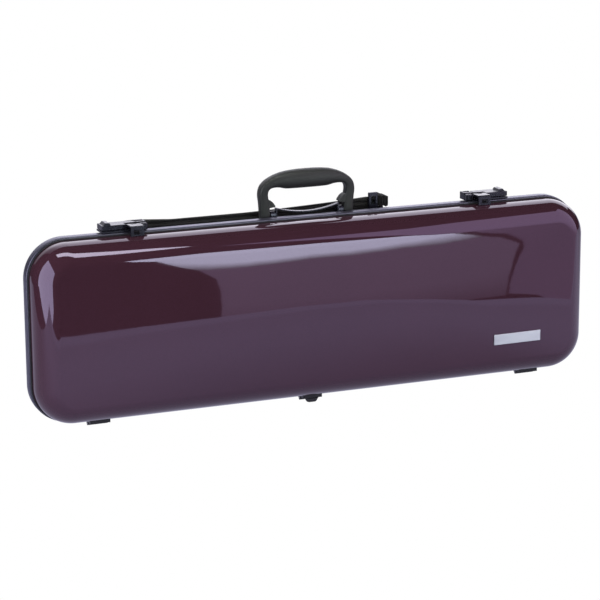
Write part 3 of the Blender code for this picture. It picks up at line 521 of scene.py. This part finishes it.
def lid_skin(inset, offset, rim_y, angles):
    """Rings of a lid-shaped skin with the normal of each point."""
    rings, normals = [], []
    for y in (rim_y, (rim_y + LID_WALL_Y) / 2, LID_WALL_Y):
        points = outline(inset)
        rings.append(flat_ring(points, -y))
        normals.append([outward(x, z) for x, z in points])
    for angle in angles:
        turn, rise = cos(radians(angle)), sin(radians(angle))
        points = outline(inset + (LID_FILLET_X - inset) * (1 - turn))
        ring, ways = [], []
        for x, z in points:
            depth = lid_front(x, z) - offset - LID_WALL_Y
            ring.append((x, -(LID_WALL_Y + depth * rise), z))
            way = outward(x, z) * depth * turn + face_normal(x, z) * LID_FILLET_X * rise
            ways.append(way.normalized())
        rings.append(ring)
        normals.append(ways)
    for face_inset in FACE_INSETS:
        points = outline(face_inset)
        rings.append([(x, -(lid_front(x, z) - offset), z) for x, z in points])
        normals.append([face_normal(x, z) for x, z in points])
    return rings, normals


def make_lid_shell():
    angles = (7, 14, 21, 28, 35, 42, 49, 56, 62, 68, 74, 79, 83, 87, 90)
    outer, normals = lid_skin(0.0, 0.0, LID_RIM_Y, angles)
    inner, _ = lid_skin(SHELL_T, SHELL_T, LID_RIM_Y, (25, 50, 70, 90))
    lid = add_piece("lid_shell_lacquered", loft(outer[::-1] + inner), "purple_shell", "lid",
                    ("lid_shell",), None)
    flat = [way for ways in normals[::-1] for way in ways]
    flat += [Vector((0.0, 0.0, 0.0))] * (len(lid.data.vertices) - len(flat))
    lid.data.normals_split_custom_set_from_vertices([tuple(way) for way in flat])
    return lid


def rear_rings(profile, offset):
    rings = []
    for y, inset_x, inset_z in profile:
        depth = y - offset if y > REAR_PROFILE[1][0] else y
        rings.append(flat_ring(outline(inset_x + offset, inset_z + offset), depth))
    return rings


def make_rear_shell():
    fine = smooth_rows(REAR_PROFILE, 4)
    rings = rear_rings(fine, 0.0)[::-1] + rear_rings(REAR_PROFILE, SHELL_T)
    return add_piece("rear_shell_lacquered", loft(rings), "purple_shell", "root", ("rear_shell",), 60.0)


def make_frame_piece(name, section, slot, body, node):
    rings = [flat_ring(outline(inset), y) for y, inset in section]
    return add_piece(name, loft(rings, closed=True), slot, body, (node,), 50.0)


def make_label():
    """Blank plate with rounded corners, bent to the crown of the lid."""
    low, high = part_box("label_plate")
    half_x, half_z = (high.x - low.x) / 2, (high.z - low.z) / 2
    mid_x, mid_z = (high.x + low.x) / 2, (high.z + low.z) / 2 - MID_Z
    rings = []
    for lift, inset in LABEL_SECTION:
        ring = []
        for u, v in mirror_half(half_outline(half_x - inset, half_z - inset, LABEL_CORNER_R, 2, 4, 16)):
            x, z = mid_x + u, mid_z + v
            ring.append((x, -lid_front(x, z) - lift, z))
        rings.append(ring)
    return add_piece("label_plate_blank", loft(rings), "label_metal", "lid", ("label_plate",), 30.0)


# ---------------------------------------------------------------- handle

def rounded_section(steps, power):
    """Points of a superellipse within the unit square; a low power gives a boxier one."""
    points = []
    for k in range(steps):
        angle = 2 * pi * k / steps
        c, s = cos(angle), sin(angle)
        points.append((abs(c) ** power * (1 if c > 0 else -1), abs(s) ** power * (1 if s > 0 else -1)))
    return points


def handle_rings(sign, rows):
    """Rings along one half of the grip: boxy at the foot of the leg, round at the top."""
    rings = []
    for index, (ix, iz, ox, oz, half_depth) in enumerate(rows):
        share = index / (len(rows) - 1)
        power = LEG_POWER + POWER_RISE * smoothstep((share - POWER_START) / POWER_SPAN)
        mid_x, mid_z = (ix + ox) / 2, (iz + oz) / 2
        reach_x, reach_z = (ox - ix) / 2, (oz - iz) / 2
        ring = []
        for u, v in rounded_section(HANDLE_STEPS, power):
            ring.append((sign * (mid_x + reach_x * u), HANDLE_Y + half_depth * v, mid_z + reach_z * u))
        rings.append(ring)
    return rings


def union(obj, bm):
    """Join a second solid, in seam coordinates, to a piece with an applied boolean."""
    bmesh.ops.translate(bm, verts=bm.verts[:], vec=(0.0, SEAM_Y, MID_Z))
    bmesh.ops.recalc_face_normals(bm, faces=bm.faces[:])
    mesh = bpy.data.meshes.new("tool")
    bm.to_mesh(mesh)
    bm.free()
    tool = bpy.data.objects.new("tool", mesh)
    bpy.context.scene.collection.objects.link(tool)
    modifier = obj.modifiers.new("join", "BOOLEAN")
    modifier.operation = "UNION"
    modifier.object = tool
    bpy.context.view_layer.update()
    graph = bpy.context.evaluated_depsgraph_get()
    joined = bpy.data.meshes.new_from_object(obj.evaluated_get(graph))
    obj.modifiers.clear()
    obj.data = joined
    bpy.data.objects.remove(tool, do_unlink=True)
    joined.shade_smooth()
    joined.set_sharp_from_angle(angle=radians(40))


def make_handle():
    """The grip is one loop of rings from the right foot to the left, plus a wing on each leg."""
    rows = smooth_rows(HANDLE_STATIONS, 5)
    rings = handle_rings(1, rows) + handle_rings(-1, rows)[-2::-1]
    grip = add_piece("handle_grip_soft", loft(rings), "soft_grip", "handle", ("handle_grip",))
    for sign in (-1, 1):
        wing = [(sign * x, z) for x, z in WING]
        union(grip, prism(wing, HANDLE_Y - WING_HALF_Y, HANDLE_Y + WING_HALF_Y))


# ---------------------------------------------------------------- strap

def strap_top(x):
    """Height of the folded strap's top, which rises to the slide and has a hump at the left."""
    rise = STRAP_RISE * max(0.0, (x - STRAP_RISE_FROM_X) / STRAP_RISE_SPAN) ** 1.5
    hump = STRAP_HUMP * max(0.0, 1 - abs(x - STRAP_HUMP_X) / STRAP_HUMP_REACH)
    return STRAP_FLAT_TOP_Z + rise + hump


def ribbon(path, low_y, high_y, thickness, shape=None):
    """A band of webbing along an (x, z) path; thickness is a function of x."""
    width = high_y - low_y
    bm = bmesh.new()
    rings = []
    for index, (x, z) in enumerate(path):
        ahead, behind = path[min(index + 1, len(path) - 1)], path[max(index - 1, 0)]
        way = Vector((ahead[0] - behind[0], ahead[1] - behind[1])).normalized()
        thick = thickness(x)
        ring = []
        for u, v in RIBBON_SECTION:
            y = (low_y + high_y) / 2 + u * width
            px, pz = x - way.y * v * thick, z + way.x * v * thick
            if shape is not None:
                px, y, pz = shape(px, y, pz)
            ring.append(bm.verts.new((px, y, pz)))
        rings.append(ring)
    for lower, upper in zip(rings, rings[1:]):
        for i in range(len(lower)):
            j = (i + 1) % len(lower)
            bm.faces.new((lower[i], lower[j], upper[j], upper[i]))
    bm.faces.new(rings[0])
    bm.faces.new(rings[-1][::-1])
    return bm


def strap_path():
    """Centreline of the webbing folded to and fro between the strap's underside and top."""
    path = []
    low, high = STRAP_ENDS[0] + 0.004, STRAP_ENDS[1] - 0.003
    for layer in range(STRAP_LAYERS):
        share = (layer + 0.5) / STRAP_LAYERS
        leftward = layer % 2 == 0
        shorten = FOLD_STAGGER * ((layer * 7) % 3)
        points = []
        for k in range(STRAP_STEPS + 1):
            x = low + shorten + (high - low - shorten) * k / STRAP_STEPS
            points.append((x, STRAP_LOW_Z + (strap_top(x) - STRAP_LOW_Z) * share))
        if leftward:
            points.reverse()
        if path:
            start, end = path[-1], points[0]
            side = 1 if leftward else -1
            mid_z, reach = (start[1] + end[1]) / 2, (end[1] - start[1]) / 2
            turn_x = max(start[0], end[0]) if leftward else min(start[0], end[0])
            for angle in (-50, -15, 15, 50):
                way = radians(angle)
                path.append((turn_x + side * reach * 1.1 * cos(way), mid_z + reach * sin(way)))
        path += points
    return path


def layer_thickness(x):
    """Loft of one pass of webbing: the passes fluff up as the stack rises."""
    return 0.95 * (strap_top(x) - STRAP_LOW_Z) / STRAP_LAYERS


def strap_shape(x, y, z):
    """Lean the stack with the shell and let its edges wander a little."""
    share = (y - (STRAP_Y - STRAP_W / 2)) / STRAP_W
    wander = 0.0005 * sin(9 * x + 900 * z)
    return x, y + wander, z - STRAP_LEAN * smoothstep(share)


def make_strap():
    path = strap_path()
    half = STRAP_W / 2 - 0.0006
    bm = ribbon(path, STRAP_Y - half, STRAP_Y + half, layer_thickness, strap_shape)
    strap = add_piece("shoulder_strap_webbing", bm, "webbing", "root", ("shoulder_strap",), 50.0)


def loop_path(low, high):
    """Centreline of the webbing folded up and down behind the slide, inside the node's box."""
    low_z, high_z = low.z - MID_Z + LOOP_INSET_Z, high.z - MID_Z - LOOP_INSET_Z
    pitch = (high.x - low.x - 2 * LOOP_INSET_X) / (LOOP_LAYERS - 1)
    path = []
    for layer in range(LOOP_LAYERS):
        x = low.x + LOOP_INSET_X + pitch * layer
        drop = LOOP_DROP * layer / (LOOP_LAYERS - 1)
        run = [(x, low_z + (high_z - drop - low_z) * k / 6) for k in range(7)]
        if layer % 2:
            run.reverse()
        if path:
            side = 1 if layer % 2 else -1
            path.append((x - pitch / 2, run[0][1] + side * 0.0008))
        path += run
    return path


def make_strap_end():
    low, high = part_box("strap_end_loop")
    path = loop_path(low, high)
    bm = ribbon(path, low.y - SEAM_Y, high.y - SEAM_Y, lambda x: LOOP_T)
    piece = add_piece("strap_end_webbing", bm, "webbing", "root", ("strap_end_loop",), 50.0)


# ---------------------------------------------------------------- feet and inside

def turned(x, y, profile, steps=32):
    """Turn a profile of (z, radius) points about an upright axis."""
    rings = []
    for z, radius in profile:
        circle = arc(0, 0, radius, 0, 360 - 360 / steps, steps - 1)
        rings.append([(x + u, y + v, z) for u, v in circle])
    return loft(rings)


def make_feet():
    """Round rubber feet under the outer hinges and the rear shell."""
    for name in ("foot_left", "foot_right", "foot_rear_left", "foot_rear_right"):
        low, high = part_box(name)
        x, y = (low.x + high.x) / 2, (low.y + high.y) / 2 - SEAM_Y
        base, top = low.z - MID_Z, high.z - MID_Z
        wide = (high.x - low.x) / 2
        narrow = wide * 0.76
        profile = ((base + 0.0012, narrow * 0.45), (base, narrow * 0.55), (base, narrow * 0.88),
                   (base + 0.0004, narrow * 0.96), (base + 0.0010, narrow), (top - 0.0012, wide - 0.0004),
                   (top - 0.0004, wide), (top, wide - 0.0003))
        add_piece(f"{name}_rubber", turned(x, y, profile), "foot_rubber", "root", (name,), 50.0)


def resample(points, count):
    """Spread count + 1 points evenly along a polyline."""
    points = [p for i, p in enumerate(points) if i == 0 or hypot(p[0] - points[i - 1][0],
                                                                 p[1] - points[i - 1][1]) > 1e-7]
    lengths = [0.0]
    for (x0, z0), (x1, z1) in zip(points, points[1:]):
        lengths.append(lengths[-1] + hypot(x1 - x0, z1 - z0))
    spread, segment = [], 0
    for k in range(count + 1):
        target = lengths[-1] * k / count
        while segment < len(points) - 2 and lengths[segment + 1] < target:
            segment += 1
        span = lengths[segment + 1] - lengths[segment]
        mix = min(max((target - lengths[segment]) / span, 0.0), 1.0)
        (x0, z0), (x1, z1) = points[segment], points[segment + 1]
        spread.append((x0 + (x1 - x0) * mix, z0 + (z1 - z0) * mix))
    return spread


INSTRUMENT_HALF = (
    (0.357, 0.000), (0.355, 0.040), (0.336, 0.082), (0.300, 0.103), (0.262, 0.1055), (0.222, 0.092),
    (0.180, 0.068), (0.142, 0.066), (0.105, 0.080), (0.066, 0.087), (0.030, 0.079), (0.006, 0.052),
    (-0.006, 0.033), (-0.060, 0.029), (-0.130, 0.029), (-0.185, 0.036), (-0.225, 0.036), (-0.246, 0.022),
    (-0.250, 0.000),
)
DECK_Y = 0.0085
DECK_HALF_Z = CASE_H / 2 - 0.0086
DECK_RIGHT_X = CASE_L / 2 - 0.0105
DIVIDER_X = -0.2560
INSERT_FLOOR_Y = 0.0520
TRAY_FLOOR_Y = 0.0460
RING_STEPS = 110
CAVITY_MIDDLE_X = 0.0535
POCKET_HALF_Z = 0.1114
TRAY_LIMITS = (-0.3845, -0.2590)
CUSHION_STEP = 0.0015
LINING_T = 0.0030
LINING_GAP = 0.0006
LINING_RIM = 0.0010


def instrument_outline(shrink):
    half = []
    for x, z in smooth_rows(INSTRUMENT_HALF, 5):
        half.append((CAVITY_MIDDLE_X + (x - CAVITY_MIDDLE_X) * (1 - shrink / 0.3), max(z - shrink, 0.0)))
    half[0] = (half[0][0], 0.0)
    half[-1] = (half[-1][0], 0.0)
    return mirror_half(resample(half, RING_STEPS))


def deck_outline(low_x, high_x, half_z, low_radius, high_radius):
    half = [(high_x, 0.0)]
    half += arc(high_x - high_radius, half_z - high_radius, high_radius, 0, 90, 12)
    half += arc(low_x + low_radius, half_z - low_radius, low_radius, 90, 180, 12)
    half.append((low_x, 0.0))
    return mirror_half(resample(half, RING_STEPS))


def accessory_outline(shrink):
    inside = 0.008 + shrink
    return deck_outline(TRAY_LIMITS[0] + inside, TRAY_LIMITS[1] - inside, POCKET_HALF_Z - inside,
                        0.036 - shrink, 0.012 - shrink / 2)


def velour_pan(name, node, outer, cavity, floor_y, thickness):
    """Velour-covered pan: a padded edge, a deck, sloping walls and a floor."""
    wall_y = floor_y - 0.010
    front = [flat_ring(cavity(0.010), floor_y), flat_ring(cavity(0.0065), floor_y - 0.0010),
             flat_ring(cavity(0.004), floor_y - 0.003), flat_ring(cavity(0.0018), floor_y - 0.0065),
             flat_ring(cavity(0.001), wall_y), flat_ring(cavity(0.0002), DECK_Y + 0.0022),
             flat_ring(cavity(-0.0006), DECK_Y + 0.0006), flat_ring(cavity(-0.0020), DECK_Y)]
    edge = [flat_ring(outer(0.0012), DECK_Y), flat_ring(outer(0.0), DECK_Y + 0.0008),
            flat_ring(outer(0.0), DECK_Y + thickness)]
    back = [flat_ring(cavity(-thickness), DECK_Y + thickness),
            flat_ring(cavity(0.001 - thickness), wall_y),
            flat_ring(cavity(0.004 - thickness), floor_y - 0.002),
            flat_ring(cavity(0.009), floor_y + thickness)]
    piece = add_piece(name, loft(front + edge + back), "velour", "root", (node,), 60.0)


def cushion_height(u, v, crown):
    """Share of a cushion's full thickness at a point of the unit square."""
    edge = (1 - abs(u) ** 6) * (1 - abs(v) ** 6)
    return max(edge, 0.0) ** 0.35 * (1 - crown * (u * u + v * v) / 2)


def cushion(name, node, body, crown):
    """A crowned velour pad inside its CAD node's box, with rounded edges."""
    low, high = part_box(node)
    low, high = low - Vector((0, SEAM_Y, MID_Z)), high - Vector((0, SEAM_Y, MID_Z))
    half_x, half_z = (high.x - low.x) / 2, (high.z - low.z) / 2
    mid_x, mid_z = (high.x + low.x) / 2, (high.z + low.z) / 2
    thick = high.y - low.y
    columns = max(12, int(half_x * 2 / CUSHION_STEP))
    rows = max(12, int(half_z * 2 / CUSHION_STEP))
    bm = bmesh.new()
    layers = []
    for side in (0, 1):
        grid = []
        for i in range(columns + 1):
            line = []
            for j in range(rows + 1):
                u, v = 2 * i / columns - 1, 2 * j / rows - 1
                share = 0.30 + 0.70 * cushion_height(u, v, crown)
                y = high.y - (thick * share if side else 0.0)
                line.append(bm.verts.new((mid_x + half_x * u, y, mid_z + half_z * v)))
            grid.append(line)
        layers.append(grid)
    for grid in layers:
        for i in range(columns):
            for j in range(rows):
                bm.faces.new((grid[i][j], grid[i + 1][j], grid[i + 1][j + 1], grid[i][j + 1]))
    back, front = layers
    for i in range(columns):
        for j in (0, rows):
            bm.faces.new((back[i][j], back[i + 1][j], front[i + 1][j], front[i][j]))
    for j in range(rows):
        for i in (0, columns):
            bm.faces.new((back[i][j], back[i][j + 1], front[i][j + 1], front[i][j]))
    piece = add_piece(name, bm, "velour", body, (node,), 60.0)


def insert_edge(inset):
    return deck_outline(DIVIDER_X + inset, DECK_RIGHT_X - inset, DECK_HALF_Z - inset, 0.006, 0.042)


def tray_edge(inset):
    return deck_outline(TRAY_LIMITS[0] + inset, TRAY_LIMITS[1] - inset, DECK_HALF_Z - inset, 0.042, 0.006)


def make_interior():
    velour_pan("instrument_insert_velour", "instrument_insert", insert_edge, instrument_outline,
               INSERT_FLOOR_Y, 0.0025)
    velour_pan("accessory_tray_velour", "accessory_tray", tray_edge, accessory_outline,
               TRAY_FLOOR_Y, 0.0020)
    cushion("neck_rest_pad", "neck_rest", "root", 0.25)
    cushion("accessory_cover_pad", "accessory_cover", "root", 0.10)
    cushion("accessory_flap_pad", "accessory_flap", "flap", 0.10)
    for level in LEVELS:
        cushion(f"bow_tip_pocket_{level}_pad", f"bow_tip_pocket_{level}", "lid", 0.35)


def make_pull_tab():
    """Short webbing tab that lies on the accessory flap."""
    low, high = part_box("accessory_tab")
    middle = (low.y + high.y) / 2 - SEAM_Y
    path = [(low.x + (high.x - low.x) * k / 8, 0.0) for k in range(9)]
    bm = ribbon(path, low.z - MID_Z, high.z - MID_Z, lambda x: high.y - low.y,
                lambda x, y, z: (x, middle + z, y))
    tab = add_piece("accessory_tab_webbing", bm, "webbing", "flap", ("accessory_tab",))


def make_lid_lining():
    """Velour glued inside the lid, a little clear of the shell."""
    inset = SHELL_T + LINING_GAP
    rim = LID_WALL_Y - LINING_RIM
    outer, _ = lid_skin(inset, inset, rim, (20, 40, 60, 78, 90))
    inner, _ = lid_skin(inset + LINING_T, inset + LINING_T, rim, (15, 30, 45, 60, 75, 90))
    piece = add_piece("lid_lining_velour", loft(outer[::-1] + inner), "velour", "lid", ("lid_lining",), 60.0)


# ---------------------------------------------------------------- CAD nodes kept as they are

def named(stems, ends):
    """The node names of sub-parts that repeat, such as hinge_pin with left, middle and right."""
    return tuple(f"{stem}_{end}" for stem in stems for end in ends)


LATCH_PIECES = ("latch_base", "latch_lever", "latch_slider", "latch_hasp", "strap_lug")
# Material, then the width of the rounded edges and the nodes
KEPT = {
    "black_plastic": (0.00035, named(LATCH_PIECES, SIDES) + named(("bow_post", "bow_toggle"), LEVELS)
                      + ("handle_base", "strap_buckle", "hygrometer_body")),
    "hinge_metal": (0.00025, named(("hinge_leaf_rear", "hinge_leaf_lid"), HINGES)
                    + named(("lid_catch",), SIDES)),
    "pin_steel": (0.00012, named(("hinge_pin",), HINGES)
                  + named(("handle_pin", "lever_pin", "hasp_pin"), SIDES)),
    "foot_rubber": (0.00040, ("foot_middle",)),
    "dial_glass": (0.00020, ("hygrometer_glass",)),
}


def dress_kept_nodes():
    for slot, (width, names) in KEPT.items():
        for name in names:
            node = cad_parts[name]
            node.data.materials.clear()
            node.data.materials.append(MATERIALS[slot])
            bevel(node, width)
            node.data.shade_smooth()
            node.data.set_sharp_from_angle(angle=radians(30))


# ---------------------------------------------------------------- studio

def panel_material(name, colour):
    """Emission whose strength is the mesh's glow attribute."""
    mat = bpy.data.materials.new(name)
    mat.use_nodes = True
    tree = mat.node_tree
    tree.nodes.clear()
    output = tree.nodes.new("ShaderNodeOutputMaterial")
    emission = tree.nodes.new("ShaderNodeEmission")
    emission.inputs["Color"].default_value = (*colour, 1.0)
    source = tree.nodes.new("ShaderNodeAttribute")
    source.attribute_name = "glow"
    link(tree, source.outputs["Fac"], emission.inputs["Strength"])
    link(tree, emission.outputs["Emission"], output.inputs["Surface"])
    return mat


def light_panel(name, rows, colour=(1.0, 1.0, 1.0)):
    """A panel skinned between rows of (points, glow); the camera doesn't see it."""
    bm = bmesh.new()
    layer = bm.verts.layers.float.new("glow")
    grid = []
    for points, glow in rows:
        line = []
        for point in points:
            vertex = bm.verts.new(place(*point))
            vertex[layer] = glow
            line.append(vertex)
        grid.append(line)
    for lower, upper in zip(grid, grid[1:]):
        for i in range(len(lower) - 1):
            bm.faces.new((lower[i], lower[i + 1], upper[i + 1], upper[i]))
    mesh = bpy.data.meshes.new(name)
    bm.to_mesh(mesh)
    bm.free()
    mesh.materials.append(panel_material(name, colour))
    obj = bpy.data.objects.new(name, mesh)
    bpy.context.scene.collection.objects.link(obj)
    obj.visible_camera = False
    obj.visible_shadow = False
    return obj


# Lights, about the middle of the seam. The floor's front edge is a row of (x, y); each floor
# row lies so far behind the edge and has a glow. The glow dims towards and under the case:
# this is a painted shadow of the case on the floor, seen in the lid's reflection.
FLOOR_EDGE = ((-0.95, -0.52), (-0.24, -0.55), (-0.13, -0.58), (-0.04, -0.60), (0.19, -0.65), (0.32, -0.64),
              (0.40, -0.56), (0.46, -0.49), (0.56, -0.46), (0.62, -0.42), (1.20, -0.40), (4.00, -0.30))
# Glow per row: painted shadow, bright at the front edge and dimmer towards, under and behind the case
FLOOR_ROWS = ((0.0, 1.60), (0.045, 1.60), (0.070, 1.36), (0.20, 1.42), (0.30, 1.36), (0.40, 1.14),
              (0.50, 0.84), (0.62, 0.66), (1.60, 0.55), (4.50, 0.60))
FLOOR_TINT = (0.765, 0.755, 1.0)

# The front panel is dim below an arched fold and bright above it
FRONT_Y = -2.5
FRONT_FOLD = (((0.61, -0.235), (0.76, -0.200), (0.95, -0.155), (1.23, -0.170), (1.505, -0.245)), 1.30)
FRONT_DIM = ((0.66, 1.68, -0.70, 0.60), (0.66, 1.68, -0.62, 0.95), (0.66, 1.675, -0.52, 1.20),
             (0.66, 1.66, -0.39, 1.24), (0.655, 1.575, -0.30, 1.28))
FRONT_DIM_TINT = (0.93, 0.80, 1.02)
FRONT_BRIGHT = (
    (((0.50, -0.207), (0.74, -0.160), (0.95, -0.110), (1.24, -0.120), (1.40, -0.155)), 9.0),
    (((0.45, 0.10), (0.70, 0.10), (0.95, 0.10), (1.20, 0.10), (1.31, 0.10)), 9.8),
    (((0.43, 0.39), (0.66, 0.42), (0.88, 0.45), (1.08, 0.50), (1.25, 0.50)), 9.8),
    (((0.44, 0.52), (0.55, 0.72), (0.69, 0.97), (0.86, 0.93), (1.03, 0.87)), 9.6),
)
FRONT_BRIGHT_TINT = (0.88, 0.96, 1.0)

# The side panel's near edge follows the front panel, as (x, z, glow)
SIDE_EDGE = (
    (1.692, -0.69, 1.10), (1.688, -0.42, 1.15), (1.665, -0.375, 1.20), (1.582, -0.288, 1.25),
    (1.512, -0.232, 1.40), (1.408, -0.140, 1.80), (1.318, 0.12, 2.30), (1.275, 0.50, 2.45),
    (1.260, 3.40, 2.30),
)
# Further columns of the side panel as (x, y, z at the foot, stretch of the height)
SIDE_COLUMNS = ((1.80, -2.49, -0.715, 1.0), (1.93, -2.45, -0.800, 1.0), (2.4, -2.3, -0.80, 1.2),
                (4.2, -0.6, -0.98, 1.6))
SIDE_TINT = (0.89, 0.72, 1.0)
LEFT_NEAR, LEFT_FAR = (-1.55, -2.4), (-1.25, 0.2)
LEFT_HEIGHTS = ((-0.60, -0.13), (0.70, 1.1))
LEFT_GLOW = 5.4
LEFT_TINT = (0.84, 0.82, 1.0)

# The overhead strip as (x, far y, near y); the rear panel as its glow along x and its (y, z)
OVERHEAD_Z = 2.0
OVERHEAD = ((-1.08, 0.24, -0.40), (-0.30, -0.10, -0.80), (0.19, -0.43, -1.18), (0.30, -0.65, -1.40),
            (0.40, -0.73, -1.34), (0.47, -0.84, -1.16), (0.51, -0.93, -1.00))
OVERHEAD_GLOW = 11.0
REAR_GLOW = ((-1.4, 0.3), (-0.7, 0.9), (-0.2, 2.0), (1.0, 2.5), (4.0, 2.5))
REAR_SECTION = ((1.3, 2.0), (2.6, 1.7), (3.0, 0.2))
REAR_TINT = (0.92, 0.90, 1.0)


def make_floor():
    """Pale floor that lights the case; its glow carries a painted shadow of the case, which gives the lid a
    soft fall-off in its reflection.

    The camera sees the white backdrop instead, so the open lid isn't hidden where it
    reaches below the level of the feet.
    """
    rows = []
    for back, glow in FLOOR_ROWS:
        rows.append(([(x, y + back, -MID_Z) for x, y in FLOOR_EDGE], glow))
    floor = light_panel("floor", rows, FLOOR_TINT)
    floor.visible_shadow = True


def front_row(line):
    return [(x, FRONT_Y, z) for x, z in line]


def make_front_panels():
    fold = (front_row(FRONT_FOLD[0]), FRONT_FOLD[1])
    dim = []
    for low, high, z, glow in FRONT_DIM:
        line = [(low + (high - low) * k / 4, z) for k in range(5)]
        dim.append((front_row(line), glow))
    light_panel("front_panel_low", dim + [fold], FRONT_DIM_TINT)
    bright = [(front_row(line), glow) for line, glow in FRONT_BRIGHT]
    light_panel("front_panel_high", [fold] + bright, FRONT_BRIGHT_TINT)


def make_side_panels():
    rows = []
    for x, z, glow in SIDE_EDGE:
        rise = z - SIDE_EDGE[0][1]
        points = [(x, FRONT_Y, z)]
        for column_x, column_y, foot_z, stretch in SIDE_COLUMNS:
            points.append((column_x, column_y, rise * stretch + foot_z))
        rows.append((points, glow))
    light_panel("side_panel", rows, SIDE_TINT)
    rows = []
    for near_z, far_z in LEFT_HEIGHTS:
        rows.append(([(*LEFT_NEAR, near_z), (*LEFT_FAR, far_z)], LEFT_GLOW))
    light_panel("left_panel", rows, LEFT_TINT)


def make_top_and_rear_panels():
    rows = []
    for x, far, near in OVERHEAD:
        rows.append(([(x, far, OVERHEAD_Z), (x, near, OVERHEAD_Z)], OVERHEAD_GLOW))
    light_panel("strip_light", rows)
    rows = [([(x, y, z) for y, z in REAR_SECTION], glow) for x, glow in REAR_GLOW]
    light_panel("rear_panel", rows, REAR_TINT)


def make_backdrop():
    """White for the camera, nearly black for the reflections between the panels."""
    world = bpy.data.worlds.new("studio")
    bpy.context.scene.world = world
    world.use_nodes = True
    tree = world.node_tree
    tree.nodes.clear()
    output = tree.nodes.new("ShaderNodeOutputWorld")
    mix = tree.nodes.new("ShaderNodeMixShader")
    seen = tree.nodes.new("ShaderNodeLightPath")
    dark = tree.nodes.new("ShaderNodeBackground")
    dark.inputs["Color"].default_value = (0.02, 0.02, 0.022, 1.0)
    white = tree.nodes.new("ShaderNodeBackground")
    white.inputs["Color"].default_value = (1.0, 1.0, 1.0, 1.0)
    link(tree, seen.outputs["Is Camera Ray"], mix.inputs["Fac"])
    link(tree, dark.outputs["Background"], mix.inputs[1])
    link(tree, white.outputs["Background"], mix.inputs[2])
    link(tree, mix.outputs["Shader"], output.inputs["Surface"])
    bpy.context.scene.view_settings.view_transform = "Standard"


def make_camera():
    data = bpy.data.cameras.new("camera")
    data.lens = CAMERA_LENS
    data.sensor_width = CAMERA_SENSOR
    data.clip_start = 0.05
    data.clip_end = 50.0
    camera = bpy.data.objects.new("camera", data)
    bpy.context.scene.collection.objects.link(camera)
    ahead = (CAMERA_AIM - CAMERA_AT).normalized()
    right = ahead.cross(Vector((0, 0, 1))).normalized()
    up = right.cross(ahead)
    turned_right = right * cos(CAMERA_ROLL) + up * sin(CAMERA_ROLL)
    turned_up = up * cos(CAMERA_ROLL) - right * sin(CAMERA_ROLL)
    matrix = camera.matrix_world.copy()
    for row in range(3):
        matrix[row][0] = turned_right[row]
        matrix[row][1] = turned_up[row]
        matrix[row][2] = -ahead[row]
        matrix[row][3] = place(*CAMERA_AT)[row]
    camera.matrix_world = matrix
    bpy.context.scene.camera = camera


make_lid_shell()
make_rear_shell()
make_frame_piece("edge_band_satin", BAND_SECTION, "edge_band", "root", "edge_band")
make_frame_piece("seam_gasket_rubber", GASKET_SECTION, "seal_rubber", "root", "seam_gasket")
make_frame_piece("lid_tongue_rubber", RIM_SECTION, "seal_rubber", "lid", "lid_tongue")
make_lid_lining()
make_label()
make_handle()
make_strap()
make_strap_end()
make_feet()
make_interior()
make_pull_tab()
dress_kept_nodes()
make_floor()
make_front_panels()
make_side_panels()
make_top_and_rear_panels()
make_backdrop()
make_camera()
